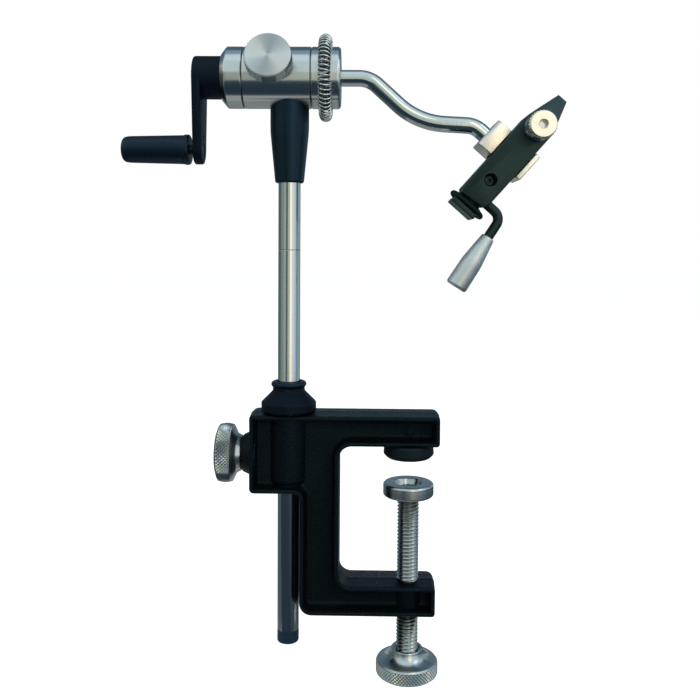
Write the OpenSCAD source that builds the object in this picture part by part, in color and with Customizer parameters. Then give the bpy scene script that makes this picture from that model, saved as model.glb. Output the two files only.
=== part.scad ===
// Rotary fly tying vise on a C-clamp: crank head, bent jaw arm, cam-closed jaws.
// X runs along the head towards the jaws, Y away from the viewer, Z up.
// The origin is the centre of the fixed pad's underside, where the vise rests on a table top.

/* [Clamp] */
// Depth of the clamp casting, front to back
clamp_depth = 20; // [16:0.5:26]
// Thickness of the clamp's two arms
arm_t = 13.6; // [11:0.2:18]
// Clear height between the two arms
throat_h = 59.8; // [50:0.2:75]
// Reach from the clamp screw's axis to the upright
throat_d = 29.75; // [26:0.25:38]
// Width of the upright
upright_w = 17.55; // [14:0.05:22]
// Width of the step that carries the post
step_w = 21.6; // [20:0.1:26]
// Height of that step
step_h = 34.3; // [30:0.1:42]
// How far the upper arm runs past the screw's axis
upper_nose = 13.2; // [12:0.1:18]
// How far the lower arm runs past the screw's axis
lower_nose = 11.8; // [10:0.1:18]
// Width of the rim round the casting's pockets
rim_w = 2.1; // [1.5:0.1:3]
// Thickness of the web between the front and back pockets
web_t = 7; // [5:0.5:10]
// Radius of the boss round the post's bore
post_boss_r = 8.2; // [6.6:0.1:9]
// Wall of the boss round the clamp screw's thread
screw_boss_wall = 1.5; // [1:0.1:4]

/* [Clamp screw and pads] */
// Radius of the 3/8 inch clamp screw
screw_r = 4.7625; // [4:0.0005:5.5]
// Pitch of its thread, 16 turns to the inch
screw_pitch = 1.5875; // [1.25:0.0005:2]
// Depth of its thread
thread_depth = 0.85; // [0.5:0.05:1]
// Height of the fixed rubber pad under the upper arm
pad_h = 6; // [4:0.1:8]
// Radius of both pads
pad_r = 11; // [9.5:0.1:12]
// Gap between the pads as the clamp stands
pad_gap = 11.1; // [6:0.1:20]
// Thickness of the swivel pad
swivel_t = 5.8; // [5.4:0.1:8]
// Height of the clamp screw's thread below the lower arm
screw_tail = 17.1; // [14:0.1:24]
// Radius of the clamp screw's knob
knob_r = 13.65; // [11:0.05:16]
// Height of the knob's knurled rim
knob_rim_h = 6.6; // [4:0.1:9]
// Height of the knob's flared hub above its rim
knob_hub_h = 5; // [3:0.1:8]
// Radius of the knob's hub at its top
knob_hub_r = 6.9; // [6.5:0.1:8]

/* [Lock screw] */
// Drop of the lock screw's axis below the clamp's top
lock_drop = 18.5; // [14:0.1:20]
// Radius of the lock screw's shank
lock_r = 3.175; // [2.5:0.005:4]
// Radius of the lock screw's knurled head
lock_head_r = 12.85; // [10:0.05:15]
// Width of that head
lock_head_w = 8; // [5:0.1:10]
// Length of the tapered neck between head and boss
lock_neck_w = 3; // [2:0.1:5]
// Height of the casting's boss round the lock screw
lock_boss_h = 3.4; // [2:0.1:5]

/* [Post] */
// Radius of the 3/8 inch post
post_r = 4.7625; // [4:0.0005:5.5]
// Height of the head's axis above the clamp's top
head_rise = 143.7; // [120:0.1:170]
// Depth of the post's lower end below the clamp's top
post_drop = 101.9; // [60:0.1:120]
// Height of the joint between the two post lengths above the clamp's top
joint_rise = 70.1; // [50:0.1:90]
// Length of the end cap that shows
end_cap_h = 5.6; // [3:0.1:8]
// Radius of the stop collar's rim
collar_r = 11.9; // [10:0.1:14]
// Height of the stop collar's rim
collar_rim_h = 3.9; // [2:0.1:6]
// Radius of the stop collar's neck
collar_neck_r = 6.95; // [6.5:0.05:8]
// Height of the stop collar
collar_h = 10.4; // [10:0.1:14]
// Radius of the ring's section on top of the stop collar
collar_ring_r = 1.3; // [1:0.05:1.6]

/* [Head] */
// Radius of the head's barrel, rear cap and front collar
head_r = 13; // [12.4:0.1:15]
// Length of the barrel behind the post's axis
barrel_rear = 19.15; // [17:0.05:24]
// Length of the barrel in front of the post's axis
barrel_front = 9.3; // [9:0.05:14]
// Length of the rear cap
rear_cap_w = 9.4; // [7:0.1:12]
// Length of the front collar
front_collar_w = 12.3; // [11:0.1:16]
// Radius of the spindle
spindle_r = 6; // [5:0.1:6.5]
// Length of each bushing
bushing_w = 7; // [5:0.1:8]
// Radius of the neck sleeve's upper, straight part
sleeve_r = 8.3; // [8:0.1:9]
// Radius of the neck sleeve's lower end
sleeve_end_r = 6.2; // [5.8:0.1:7]
// Length of the neck sleeve below the head's axis
sleeve_len = 44.8; // [38:0.1:55]
// Length of the sleeve's straight part below the head's axis
sleeve_straight = 22.7; // [20:0.1:30]

/* [Material spring] */
// Outer radius of the spring's curls
curl_r = 2.8; // [2:0.05:3.2]
// Thickness of the spring's wire
wire_d = 0.6; // [0.4:0.05:0.8]
// Curls in the ring
curls = 56; // [48:1:80]
// Distance from the front collar's rear face to the ring
spring_x = 5.8; // [5:0.1:6.5]

/* [Tension screw] */
// Distance of the tension screw behind the post's axis
tension_x = 7.3; // [4:0.1:9]
// Tilt of the tension screw above level
tension_tilt = 14; // [0:1:30]
// Radius of the tension screw's knurled head
tension_head_r = 9.85; // [7:0.05:12]
// Thickness of that head
tension_head_t = 6.5; // [4:0.1:9]
// Distance from the head's axis to the thumb face
tension_reach = 22; // [20:0.1:27]
// Radius of the tension screw's shank
tension_r = 3; // [2:0.1:4]

/* [Crank] */
// Distance from the head's axis to the grip's axis
crank_throw = 30.7; // [22:0.1:40]
// Thickness of the crank's arm
crank_t = 3.8; // [3:0.1:5]
// Radius of the crank's hub
crank_hub_r = 9.1; // [8:0.1:11]
// Length of the hub between arm and rear cap
crank_hub_w = 8.2; // [5:0.1:12]
// Half width of the crank's arm at the grip
crank_end_r = 6.3; // [5:0.1:7.5]
// Length of the grip
grip_len = 29.3; // [20:0.1:40]
// Radius of the grip beside the arm
grip_r = 6.5; // [5:0.1:8]
// Radius of the grip's free end
grip_end_r = 5.6; // [4.5:0.1:7]
// Gap between the grip and the arm
grip_gap = 2; // [0.5:0.1:3]

/* [Jaw arm] */
// Radius of the bent arm's rod
rod_r = 3.5; // [2.8:0.05:4]
// Straight length in front of the front collar
rod_lead = 7.8; // [4:0.1:15]
// Radius of the first bend
bend_1 = 11.5; // [9:0.1:16]
// Angle of the first bend
bend_1_angle = 42; // [25:1:50]
// Straight length between the first two bends
rod_run_1 = 12.2; // [6:0.1:20]
// Radius of the second bend
bend_2 = 32; // [15:0.5:45]
// Angle of the second bend
bend_2_angle = 39; // [20:1:48]
// Straight length between the last two bends
rod_run_2 = 9.5; // [5:0.1:18]
// Radius of the last bend
bend_3 = 10; // [8:0.1:15]
// Straight length before the block
rod_run_3 = 2.4; // [1:0.1:6]

/* [Jaws] */
// Slope of the jaws above level
jaw_slope = 48.5; // [40:0.5:60]
// Half width of the jaws
jaw_half_w = 6.6; // [6:0.1:7.5]
// Length of the jaws from the block's middle to the tip
jaw_nose = 32.2; // [28:0.1:38]
// Length of the jaws from the block's middle to the tail
jaw_tail = 32; // [31:0.1:38]
// Thickness of the front jaw
front_jaw_t = 9; // [7:0.1:10]
// Thickness of the rear jaw
rear_jaw_t = 7.3; // [6.5:0.1:9]
// Width of the jaws' tip
tip_w = 4.6; // [3:0.1:6]
// Thickness of each jaw at the tip
tip_t = 1.3; // [1:0.1:2]
// Gap between the jaws at rest
jaw_gap = 0.6; // [0.4:0.05:1]
// Length of the block along the jaws
block_len = 13.1; // [11:0.1:15]
// Width of the block on the arm's side of the jaws
block_arm_w = 7.3; // [6.5:0.1:10]
// Width of the block's strip on the far side of the jaws
block_strip_w = 2.4; // [1.5:0.1:4]
// How far the front jaw stands proud of the block
jaw_proud = 2.4; // [1:0.1:4]
// Thickness of the block behind the jaws
block_back_t = 3.5; // [3:0.1:6]
// Distance from the block's middle to the adjusting screw
adjust_u = 14; // [12:0.1:16]
// Radius of the adjusting nut
adjust_nut_r = 5.9; // [4.5:0.1:7]
// Length of the adjusting nut
adjust_nut_len = 11.8; // [8:0.1:14]
// Radius of the adjusting screw
adjust_r = 2; // [1.5:0.1:2.5]

/* [Cam lever] */
// Distance from the block's middle to the cam's axis
cam_u = 22.3; // [20:0.1:24]
// Radius of the lever's rod
lever_r = 2.15; // [1.6:0.05:2.4]
// Distance from the jaws' middle to the lever's bend
lever_out = 10.8; // [9:0.1:14]
// Radius of the lever's bend
lever_bend = 4.5; // [3.5:0.1:8]
// Angle of the lever's bend
lever_bend_angle = 81; // [70:1:90]
// Length of the lever's rod between bend and knob
lever_run = 6.3; // [4:0.1:12]
// Length of the lever's knob
lever_knob_len = 25.6; // [18:0.1:32]
// Radius of the lever's knob at its end
lever_knob_r = 4.8; // [4:0.1:6]
// Radius of the lever's knob where it meets the rod
lever_neck_r = 2.9; // [2.7:0.1:3.5]

/* [Hidden] */
$fn = 72;

// Overrun of every cut past the face it opens
cut = 1;
// Radial clearance of a running fit
fit = 0.05;
// Gap between pieces that move past each other
gap = 0.3;
// Steps round a rounded corner of the casting
corner_steps = 7;
// How much slimmer a bend's rod is than its straight lengths
bend_slim = 0.02;
// How far a bend's rod reaches into its straight lengths
bend_weld = 0.3;

black = [0.06, 0.07, 0.08];
steel = [0.72, 0.73, 0.72];
satin = [0.83, 0.80, 0.72];
bronze = [0.72, 0.52, 0.28];
rubber = [0.05, 0.05, 0.06];
nylon = [0.88, 0.87, 0.82];

// Levels and places of the clamp
under_z = pad_h;
top_z = under_z + arm_t;
lower_z = under_z - throat_h;
bottom_z = lower_z - arm_t;
inner_x = -throat_d;
back_x = inner_x - upright_w;
step_x = back_x - step_w;
step_z = top_z - step_h;
corner_small = 1.8;
corner_inner = 5;
corner_outer = 5.6;
corner_step = 2.4;
lock_z = top_z - lock_drop;
lock_boss_top_r = 7.8;
lock_boss_base_r = 9.6;
post_boss_foot = 4.4;

// Clamp screw, pads and knob
pad_edge = 1.5;
rivet_r = 4;
rivet_h = 2;
pad_stem_r = 3;
swivel_top = -pad_gap;
swivel_bottom = swivel_top - swivel_t;
pivot_r = 2.6;
pivot_play = 0.45;
pivot_groove = 0.5;
ring_r = 4.1;
ring_t = 0.7;
recess_depth = 3.2;
recess_floor = swivel_top - recess_depth;
recess_r = 4.7;
recess_mouth_r = 6.1;
swivel_edge = 0.7;
shoulder_z = swivel_bottom - pivot_play;
hub_z = bottom_z - screw_tail;
knob_bottom = hub_z - knob_hub_h - knob_rim_h;
knob_edge = 0.8;
knob_floor = 2.2;
knob_recess_r = 5.9;
knob_recess_h = 1.2;

// Lock screw
boss_face_x = step_x - lock_boss_h;
neck_x = boss_face_x - gap;
lock_tip_r = 2.4;
lock_tip_w = 3;
lock_neck_r = 7.6;
lock_neck_base_r = 10.4;
lock_edge = 1.6;
lock_stub = 4;

// Post and stop collar
post_x = back_x - post_r - gap;
head_z = top_z + head_rise;
joint_z = top_z + joint_rise;
post_end_z = top_z - post_drop;
stud_r = 3;
stud_half = 10;
joint_groove = 0.25;
cap_edge = 0.8;
collar_z = top_z + gap;
collar_edge = 0.6;
collar_cone_h = collar_r - collar_neck_r;
collar_screw_r = 1.5;
collar_screw_z = collar_z + collar_h - 1.9;
collar_ring_z = collar_z + collar_h + collar_ring_r;

// Head
barrel_x0 = post_x - barrel_rear;
barrel_x1 = post_x + barrel_front;
cap_x0 = barrel_x0 - gap - rear_cap_w;
collar_x0 = barrel_x1 + gap;
collar_x1 = collar_x0 + front_collar_w;
cap_chamfer_x = 2.5;
cap_chamfer_r = 3;
collar_chamfer = 0.8;
rod_socket = 14;
spigot_r = 6.1;
spigot_len = 12;
bushing_share = 3 / 7;
bushing_r = spindle_r + bushing_share * (head_r - spindle_r);
post_seat = bushing_r + 2 * gap;
groove_depth = 0.35;
groove_half = 1.5;
spring_seat = 0.2;
spring_ring_r = head_r - groove_depth + spring_seat + curl_r;
grub_r = 1.6;

// Tension screw
tension_place = post_x - tension_x;
plug_r = 2.4;
plug_len = 4;
plug_start = spindle_r + gap;
tension_back = tension_reach - tension_head_t;
tension_neck_r = 5.6;
tension_neck_t = tension_back - head_r - gap;
tension_edge = 0.5;

// Crank
crank_x1 = cap_x0 - crank_hub_w;
crank_x0 = crank_x1 - crank_t;
crank_z = head_z - crank_throw;
grip_x1 = crank_x0 - grip_gap;
grip_screw_r = 2;
grip_screw_head_r = 2.8;
grip_screw_head_t = 1.6;
grip_screw_share = 0.7;
grip_screw_reach = grip_screw_share * grip_len;
grip_dome = 1.6;
grip_lip_w = 2;
grip_lip = 0.35;
pin_hole_r = 0.8;
pin_hole_up = 5.6;

// Bent arm: each entry is a straight length, a bend radius and the angle turned, up being positive
rod_start = collar_x1 - rod_socket;
bend_3_angle = 90 - jaw_slope - bend_1_angle + bend_2_angle;
rod_in_block = 6;
ROD_BENDS = [
    [rod_socket + rod_lead, bend_1, -bend_1_angle],
    [rod_run_1, bend_2, bend_2_angle],
    [rod_run_2, bend_3, -bend_3_angle]
];
ROD_TO_BLOCK = concat(ROD_BENDS, [[rod_run_3, 0, 0]]);
ROD = concat(ROD_BENDS, [[rod_run_3 + rod_in_block, 0, 0]]);

// Jaws: u runs along the jaws to the tip, w across them towards the arm
block_u = -1;
block_w1 = jaw_half_w + gap + block_arm_w;
block_w0 = -jaw_half_w - gap - block_strip_w;
front_y1 = -jaw_gap * 2 / 3;
front_y0 = front_y1 - front_jaw_t;
rear_y0 = jaw_gap / 3;
rear_y1 = rear_y0 + rear_jaw_t;
block_y0 = front_y0 + jaw_proud;
block_y1 = rear_y1 + block_back_t;
block_edge = 1.4;
block_screw_r = 1.6;
tail_w = 2.2;
ring_groove_w = 3.2;
jaw_ring_r = 1.25;
rear_neck_r = 6.05;
front_neck_r = 5.45;
jaw_ring_u = -jaw_tail + tail_w + ring_groove_w / 2;
taper_u = 17;
nose_u = 22;
nose_w_share = 0.76;
heel_cut = 2;
cam_bore = 2.95;
cam_throw = 0.35;
cam_end_w = 5.6;
fixing_r = 1.8;
fixing_head_r = 3;
fixing_head_t = 2;
fulcrum_u = -14.8;
fulcrum_r = 1.9;
sink_r = 2.8;
sink_t = 1.6;
adjust_head_t = 2;
adjust_edge = 0.5;
nut_back_y = front_y0 - gap;
nut_face_y = nut_back_y - adjust_nut_len;
nut_socket_r = 1.7;

// Lever: the cam end runs across the jaws, and the knob follows the bent rod
lever_bore_len = 12;
LEVER_BEND = [[cam_end_w + lever_out, lever_bend, -lever_bend_angle]];
LEVER_TO_KNOB = concat(LEVER_BEND, [[lever_run, 0, 0]]);
LEVER = concat(LEVER_BEND, [[lever_run + lever_bore_len, 0, 0]]);
knob_cone_share = 0.5;
knob_mid_share = 0.96;

// Points turned about the origin of the plane
function turned(p, a) = [p[0] * cos(a) - p[1] * sin(a), p[0] * sin(a) + p[1] * cos(a)];
function unit(v) = v / norm(v);
function left_of(d) = [-d[1], d[0]];

// One corner of an outline, moved inwards and rounded
function corner_arc(p, d1, d2, r) =
    let (side = sign(cross(d1, d2)), angle = acos(d1 * d2), n = left_of(d1) * side,
         middle = p - d1 * r * tan(angle / 2) + n * r)
    [for (k = [0:corner_steps]) middle + turned(-n * r, side * angle * k / corner_steps)];

// An outline of [x, y, corner radius], run anticlockwise, with its edge moved in by inset
function rounded(pts, inset = 0) =
    let (n = len(pts))
    [for (i = [0:n - 1])
        let (p = [pts[i][0], pts[i][1]],
             before = pts[(i + n - 1) % n],
             after = pts[(i + 1) % n],
             d1 = unit(p - [before[0], before[1]]),
             d2 = unit([after[0], after[1]] - p),
             n1 = left_of(d1), n2 = left_of(d2),
             turn = sign(cross(d1, d2)),
             q = p + (n1 + n2) * inset / (1 + n1 * n2),
             r = max(pts[i][2] - turn * inset, fit))
        each corner_arc(q, d1, d2, r)];

// The middle of a plane path after its straight lengths and bends: [x, z, heading]
function after_run(s, run) = [s[0] + run * cos(s[2]), s[1] + run * sin(s[2]), s[2]];
function bend_middle(s, r, a) =
    [s[0] - sign(a) * r * sin(s[2]), s[1] + sign(a) * r * cos(s[2])];
function after_bend(s, r, a) =
    let (m = bend_middle(s, r, a), p = turned([s[0] - m[0], s[1] - m[1]], a))
    [m[0] + p[0], m[1] + p[1], s[2] + a];
function after_step(s, step) =
    step[2] == 0 ? after_run(s, step[0]) : after_bend(after_run(s, step[0]), step[1], step[2]);
function path_end(s, steps, i = 0) =
    i == len(steps) ? s : path_end(after_step(s, steps[i]), steps, i + 1);

// Where the arm's rod meets the block, and the jaws' own origin
rod_end = path_end([rod_start, head_z, 0], ROD_TO_BLOCK);
jaw_at = [rod_end[0], rod_end[1]] - turned([block_u, block_w1], jaw_slope);
lever_end = path_end([-cam_u, cam_end_w, -90], LEVER_TO_KNOB);

// Frames
module extrude_y(y0, y1) translate([0, y1, 0]) rotate([90, 0, 0]) linear_extrude(y1 - y0) children();
module along_head(x) translate([x, 0, head_z]) rotate([0, 90, 0]) children();
module along_lock(x) translate([x, 0, lock_z]) rotate([0, 90, 0]) children();
module along_grip(x) translate([x, 0, crank_z]) rotate([0, 90, 0]) children();
module at_post(z) translate([post_x, 0, z]) children();
module along_tension(reach)
    translate([tension_place, 0, head_z]) rotate([90 - tension_tilt, 0, 0])
    translate([0, 0, reach]) children();
module in_jaws() translate([jaw_at[0], 0, jaw_at[1]]) rotate([0, -jaw_slope, 0]) children();
module along_y(u, w, y) translate([u, y, w]) rotate([90, 0, 0]) children();

// A round piece from its half section
module spun(pts) rotate_extrude() polygon(pts);

// A round rod along a plane path of straight lengths and bends. Each bend is a shade slimmer than
// the straight lengths, and reaches a little way into both of them.
module bent_rod(r, s, steps, i = 0) {
    if (i < len(steps)) {
        step = steps[i];
        e = after_run(s, step[0]);
        translate([s[0], 0, s[1]]) rotate([0, 90 - s[2], 0]) cylinder(h = step[0], r = r);
        if (step[2] != 0) {
            m = bend_middle(e, step[1], step[2]);
            start = step[2] > 0 ? e[2] - 90 : e[2] + 90 + step[2];
            more = bend_weld / step[1] * 180 / PI;
            translate([m[0], 0, m[1]]) rotate([90, 0, 0]) rotate([0, 0, start - more])
            rotate_extrude(angle = abs(step[2]) + 2 * more) translate([step[1], 0]) circle(r - bend_slim);
        }
        bent_rod(r, after_step(s, step), steps, i + 1);
    }
}

// Half section of a threaded length, from z0 up to z1, with plain ends
function thread_section(r, z0, z1) =
    let (turns = floor((z1 - z0) / screw_pitch) - 1, root = r - thread_depth)
    concat([[0, z0], [root, z0]],
        [for (k = [0:turns - 1]) let (z = z0 + screw_pitch * (k + 1 / 2))
            each [[root, z], [r, z + screw_pitch * 3 / 8],
                  [r, z + screw_pitch * 5 / 8], [root, z + screw_pitch]]],
        [[root, z1], [0, z1]]);

// Outline of the casting, seen from the front
CLAMP = [
    [step_x, step_z, corner_step], [back_x, step_z, corner_step],
    [back_x, bottom_z, corner_outer], [lower_nose, bottom_z, corner_small],
    [lower_nose, lower_z, corner_small], [inner_x, lower_z, corner_inner],
    [inner_x, under_z, corner_inner], [upper_nose, under_z, corner_small],
    [upper_nose, top_z, corner_small], [step_x, top_z, corner_small]
];

module clamp_frame() {
    half = clamp_depth / 2;
    color(black) difference() {
        union() {
            difference() {
                extrude_y(-half, half) polygon(rounded(CLAMP));
                extrude_y(web_t / 2, half + cut) polygon(rounded(CLAMP, rim_w));
                extrude_y(-half - cut, -web_t / 2) polygon(rounded(CLAMP, rim_w));
            }
            at_post(step_z + post_boss_foot)
                cylinder(h = top_z - step_z - post_boss_foot - rim_w, r = post_boss_r);
            at_post(step_z) cylinder(h = top_z - step_z, r = post_r + rim_w);
            translate([0, 0, bottom_z]) cylinder(h = arm_t, r = screw_r + screw_boss_wall);
            along_lock(boss_face_x)
                cylinder(h = lock_boss_h + rim_w, r1 = lock_boss_top_r, r2 = lock_boss_base_r);
            along_lock(step_x) cylinder(h = post_x - step_x, r = lock_r + rim_w);
            translate([0, 0, under_z])
                cylinder(h = (arm_t + rim_w) / 2, r = pad_stem_r + rim_w / 2);
        }
        at_post(step_z - corner_step) cylinder(h = step_h + corner_step + cut, r = post_r + fit);
        translate([0, 0, bottom_z - cut]) cylinder(h = arm_t + 2 * cut, r = screw_r + fit);
        along_lock(boss_face_x - cut)
            cylinder(h = post_x - boss_face_x + cut, r = lock_r + fit);
        translate([0, 0, under_z - cut]) cylinder(h = arm_t / 2 + cut, r = pad_stem_r + fit);
    }
}

module fixed_pad() {
    color(rubber) difference() {
        spun([
            [0, 0], [pad_r - pad_edge, 0], [pad_r, pad_edge], [pad_r, pad_h - pad_edge],
            [pad_r - pad_edge / 2, pad_h], [0, pad_h]
        ]);
        translate([0, 0, pad_h - rivet_h - fit]) cylinder(h = rivet_h + cut, r = rivet_r + fit);
    }
}

module fixed_pad_rivet() {
    color(steel) {
        translate([0, 0, pad_h - rivet_h]) cylinder(h = rivet_h, r = rivet_r);
        translate([0, 0, pad_h - rivet_h]) cylinder(h = rivet_h + arm_t / 2 - gap, r = pad_stem_r);
    }
}

module swivel_pad() {
    color(steel) difference() {
        translate([0, 0, swivel_bottom]) spun([
            [0, 0], [pad_r - swivel_edge, 0], [pad_r, swivel_edge], [pad_r, swivel_t - swivel_edge],
            [pad_r - swivel_edge, swivel_t], [0, swivel_t]
        ]);
        translate([0, 0, recess_floor])
            cylinder(h = swivel_top - recess_floor, r1 = recess_r, r2 = recess_mouth_r);
        translate([0, 0, swivel_top]) cylinder(h = cut, r = recess_mouth_r);
        translate([0, 0, swivel_bottom - cut])
            cylinder(h = swivel_t + cut, r = pivot_r + pivot_play);
    }
}

module pad_retaining_ring() {
    color(steel) translate([0, 0, recess_floor + pivot_play]) difference() {
        cylinder(h = ring_t, r = ring_r);
        translate([0, 0, -cut]) cylinder(h = ring_t + 2 * cut, r = pivot_r - pivot_groove + fit);
    }
}

module clamp_screw() {
    ring_z = recess_floor + pivot_play;
    color(steel) difference() {
        union() {
            spun(thread_section(screw_r, knob_bottom + knob_floor, shoulder_z));
            translate([0, 0, shoulder_z])
                cylinder(h = ring_z + 2 * ring_t - shoulder_z, r = pivot_r);
        }
        translate([0, 0, ring_z - fit]) difference() {
            cylinder(h = ring_t + 2 * fit, r = pivot_r + cut);
            translate([0, 0, -cut]) cylinder(h = ring_t + 2 * cut, r = pivot_r - pivot_groove);
        }
    }
}

module clamp_screw_knob() {
    rim_z = knob_bottom + knob_rim_h;
    flare = knob_r - knob_edge - knob_hub_r;
    color(steel) difference() {
        spun(concat(
            [[0, knob_bottom], [knob_r - knob_edge, knob_bottom], [knob_r, knob_bottom + knob_edge],
             [knob_r, rim_z - knob_edge], [knob_r - knob_edge, rim_z]],
            [for (a = [15:15:75]) [knob_hub_r + flare * (1 - sin(a)), rim_z + knob_hub_h * (1 - cos(a))]],
            [[knob_hub_r, hub_z], [0, hub_z]]
        ));
        translate([0, 0, hub_z - knob_recess_h]) cylinder(h = knob_recess_h + cut, r = knob_recess_r);
        translate([0, 0, knob_bottom + knob_floor - fit])
            cylinder(h = hub_z - knob_bottom, r = screw_r + fit / 2);
    }
}

module lock_tip() {
    color(nylon) along_lock(post_x - post_r - gap - lock_tip_w) cylinder(h = lock_tip_w, r = lock_tip_r);
}

module lock_screw() {
    tip_x = post_x - post_r - gap - lock_tip_w - fit;
    color(steel) along_lock(neck_x - lock_neck_w - lock_stub)
        cylinder(h = tip_x - neck_x + lock_neck_w + lock_stub, r = lock_r);
}

module lock_screw_head() {
    color(steel) difference() {
        along_lock(neck_x - lock_neck_w - lock_head_w) spun([
            [0, 0], [lock_head_r - 2 * lock_edge, 0], [lock_head_r - lock_edge / 3, lock_edge],
            [lock_head_r, lock_head_w / 2], [lock_head_r - lock_edge / 3, lock_head_w - lock_edge],
            [lock_neck_base_r, lock_head_w], [lock_neck_r, lock_head_w + lock_neck_w],
            [0, lock_head_w + lock_neck_w]
        ]);
        along_lock(neck_x - lock_neck_w - lock_stub - fit)
            cylinder(h = lock_stub + lock_neck_w + cut, r = lock_r + fit);
    }
}

module lower_post() {
    body_z = post_end_z + end_cap_h;
    h = joint_z - body_z;
    color(steel) at_post(body_z) difference() {
        spun([
            [0, 0], [post_r, 0], [post_r, h - joint_groove], [post_r - joint_groove, h], [0, h]
        ]);
        translate([0, 0, -cut]) cylinder(h = end_cap_h + cut + fit, r = stud_r + fit);
        translate([0, 0, h - stud_half - fit]) cylinder(h = stud_half + cut, r = stud_r + fit);
    }
}

module upper_post() {
    h = head_z - post_seat - joint_z;
    color(steel) at_post(joint_z) difference() {
        spun([
            [0, 0], [post_r - joint_groove, 0], [post_r, joint_groove], [post_r, h], [0, h]
        ]);
        translate([0, 0, -cut]) cylinder(h = stud_half + cut + fit, r = stud_r + fit);
    }
}

module post_joint_stud() {
    color(steel) at_post(joint_z - stud_half) cylinder(h = 2 * stud_half, r = stud_r);
}

module post_end_cap() {
    color(black) at_post(post_end_z) {
        spun([
            [0, 0], [post_r - cap_edge, 0], [post_r, cap_edge], [post_r, end_cap_h],
            [stud_r, end_cap_h], [stud_r, 2 * end_cap_h], [0, 2 * end_cap_h]
        ]);
    }
}

module stop_collar() {
    color(black) difference() {
        at_post(collar_z) spun([
            [0, 0], [collar_r - collar_edge, 0], [collar_r, collar_edge], [collar_r, collar_rim_h],
            [collar_neck_r, collar_rim_h + collar_cone_h], [collar_neck_r, collar_h], [0, collar_h]
        ]);
        at_post(collar_z - cut) cylinder(h = collar_h + 2 * cut, r = post_r + fit);
        at_post(collar_screw_z) rotate([90, 0, 0]) cylinder(h = collar_r, r = collar_screw_r + fit);
    }
}

module collar_ring() {
    color(rubber) at_post(collar_ring_z) rotate_extrude()
        translate([post_r + gap + collar_ring_r, 0]) circle(collar_ring_r);
}

module collar_set_screw() {
    color(steel) at_post(collar_screw_z) rotate([90, 0, 0])
        translate([0, 0, post_r + gap]) cylinder(h = collar_neck_r - post_r - 2 * gap, r = collar_screw_r);
}

module head_barrel() {
    color(steel) difference() {
        union() {
            along_head(barrel_x0) cylinder(h = barrel_x1 - barrel_x0, r = head_r);
            at_post(head_z - head_r - spigot_len) cylinder(h = spigot_len + head_r - bushing_r, r = spigot_r);
        }
        along_head(barrel_x0 - cut) cylinder(h = barrel_x1 - barrel_x0 + 2 * cut, r = bushing_r + fit);
        at_post(head_z - head_r - spigot_len - cut)
            cylinder(h = head_r + spigot_len + cut - post_seat, r = post_r + fit);
        along_tension(0) cylinder(h = head_r + cut, r = tension_r + fit);
    }
}

module neck_sleeve() {
    foot_z = head_z - sleeve_len;
    spigot_z = head_z - head_r - spigot_len;
    color(black) difference() {
        at_post(foot_z) spun([
            [0, 0], [sleeve_end_r, 0], [sleeve_r, sleeve_len - sleeve_straight],
            [sleeve_r, sleeve_len], [0, sleeve_len]
        ]);
        along_head(barrel_x0 - cut) cylinder(h = barrel_x1 - barrel_x0 + 2 * cut, r = head_r + fit);
        at_post(spigot_z - fit) cylinder(h = head_r + spigot_len, r = spigot_r + fit);
        at_post(foot_z - cut) cylinder(h = sleeve_len, r = post_r + fit);
    }
}

module bushing(x) {
    color(bronze) along_head(x) difference() {
        cylinder(h = bushing_w, r = bushing_r);
        translate([0, 0, -cut]) cylinder(h = bushing_w + 2 * cut, r = spindle_r + fit);
    }
}

module rear_bushing() {
    bushing(barrel_x0);
}

module front_bushing() {
    bushing(barrel_x1 - bushing_w);
}

module brake_plug() {
    color(nylon) along_tension(plug_start) cylinder(h = plug_len, r = plug_r);
}

module tension_screw() {
    start = plug_start + plug_len + fit;
    color(steel) along_tension(start) cylinder(h = tension_reach - tension_head_t / 2 - start, r = tension_r);
}

module tension_screw_head() {
    color(steel) difference() {
        along_tension(tension_back - tension_neck_t) spun([
            [0, 0], [tension_neck_r, 0], [tension_neck_r, tension_neck_t],
            [tension_head_r - tension_edge, tension_neck_t],
            [tension_head_r, tension_neck_t + tension_edge],
            [tension_head_r, tension_neck_t + tension_head_t - tension_edge],
            [tension_head_r - tension_edge, tension_neck_t + tension_head_t],
            [0, tension_neck_t + tension_head_t]
        ]);
        along_tension(tension_back - tension_neck_t - cut)
            cylinder(h = tension_neck_t + cut + tension_head_t / 2 + fit, r = tension_r + fit);
    }
}

module spindle() {
    color(steel) difference() {
        along_head(crank_x0 + gap) cylinder(h = collar_x1 - gap - crank_x0 - collar_edge, r = spindle_r);
        along_head(rod_start - fit) cylinder(h = rod_socket + cut, r = rod_r + fit);
        along_head(collar_x0 + grub_r + gap) rotate([0, -90, 0]) cylinder(h = head_r, r = grub_r + fit);
    }
}

module rear_cap() {
    color(steel) difference() {
        along_head(cap_x0) spun([
            [0, 0], [head_r - cap_chamfer_r, 0], [head_r, cap_chamfer_x], [head_r, rear_cap_w],
            [0, rear_cap_w]
        ]);
        along_head(cap_x0 - cut) cylinder(h = rear_cap_w + 2 * cut, r = spindle_r + fit);
    }
}

module front_collar() {
    color(steel) difference() {
        along_head(collar_x0) spun([
            [0, 0], [head_r, 0], [head_r, spring_x - groove_half - groove_depth],
            [head_r - groove_depth, spring_x - groove_half], [head_r - groove_depth, spring_x + groove_half],
            [head_r, spring_x + groove_half + groove_depth], [head_r, front_collar_w - collar_chamfer],
            [head_r - collar_chamfer, front_collar_w], [0, front_collar_w]
        ]);
        along_head(collar_x0 - cut) cylinder(h = front_collar_w + 2 * cut, r = spindle_r + fit);
        along_head(collar_x0 + grub_r + gap) rotate([0, -90, 0]) cylinder(h = head_r + cut, r = grub_r + fit);
    }
}

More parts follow.
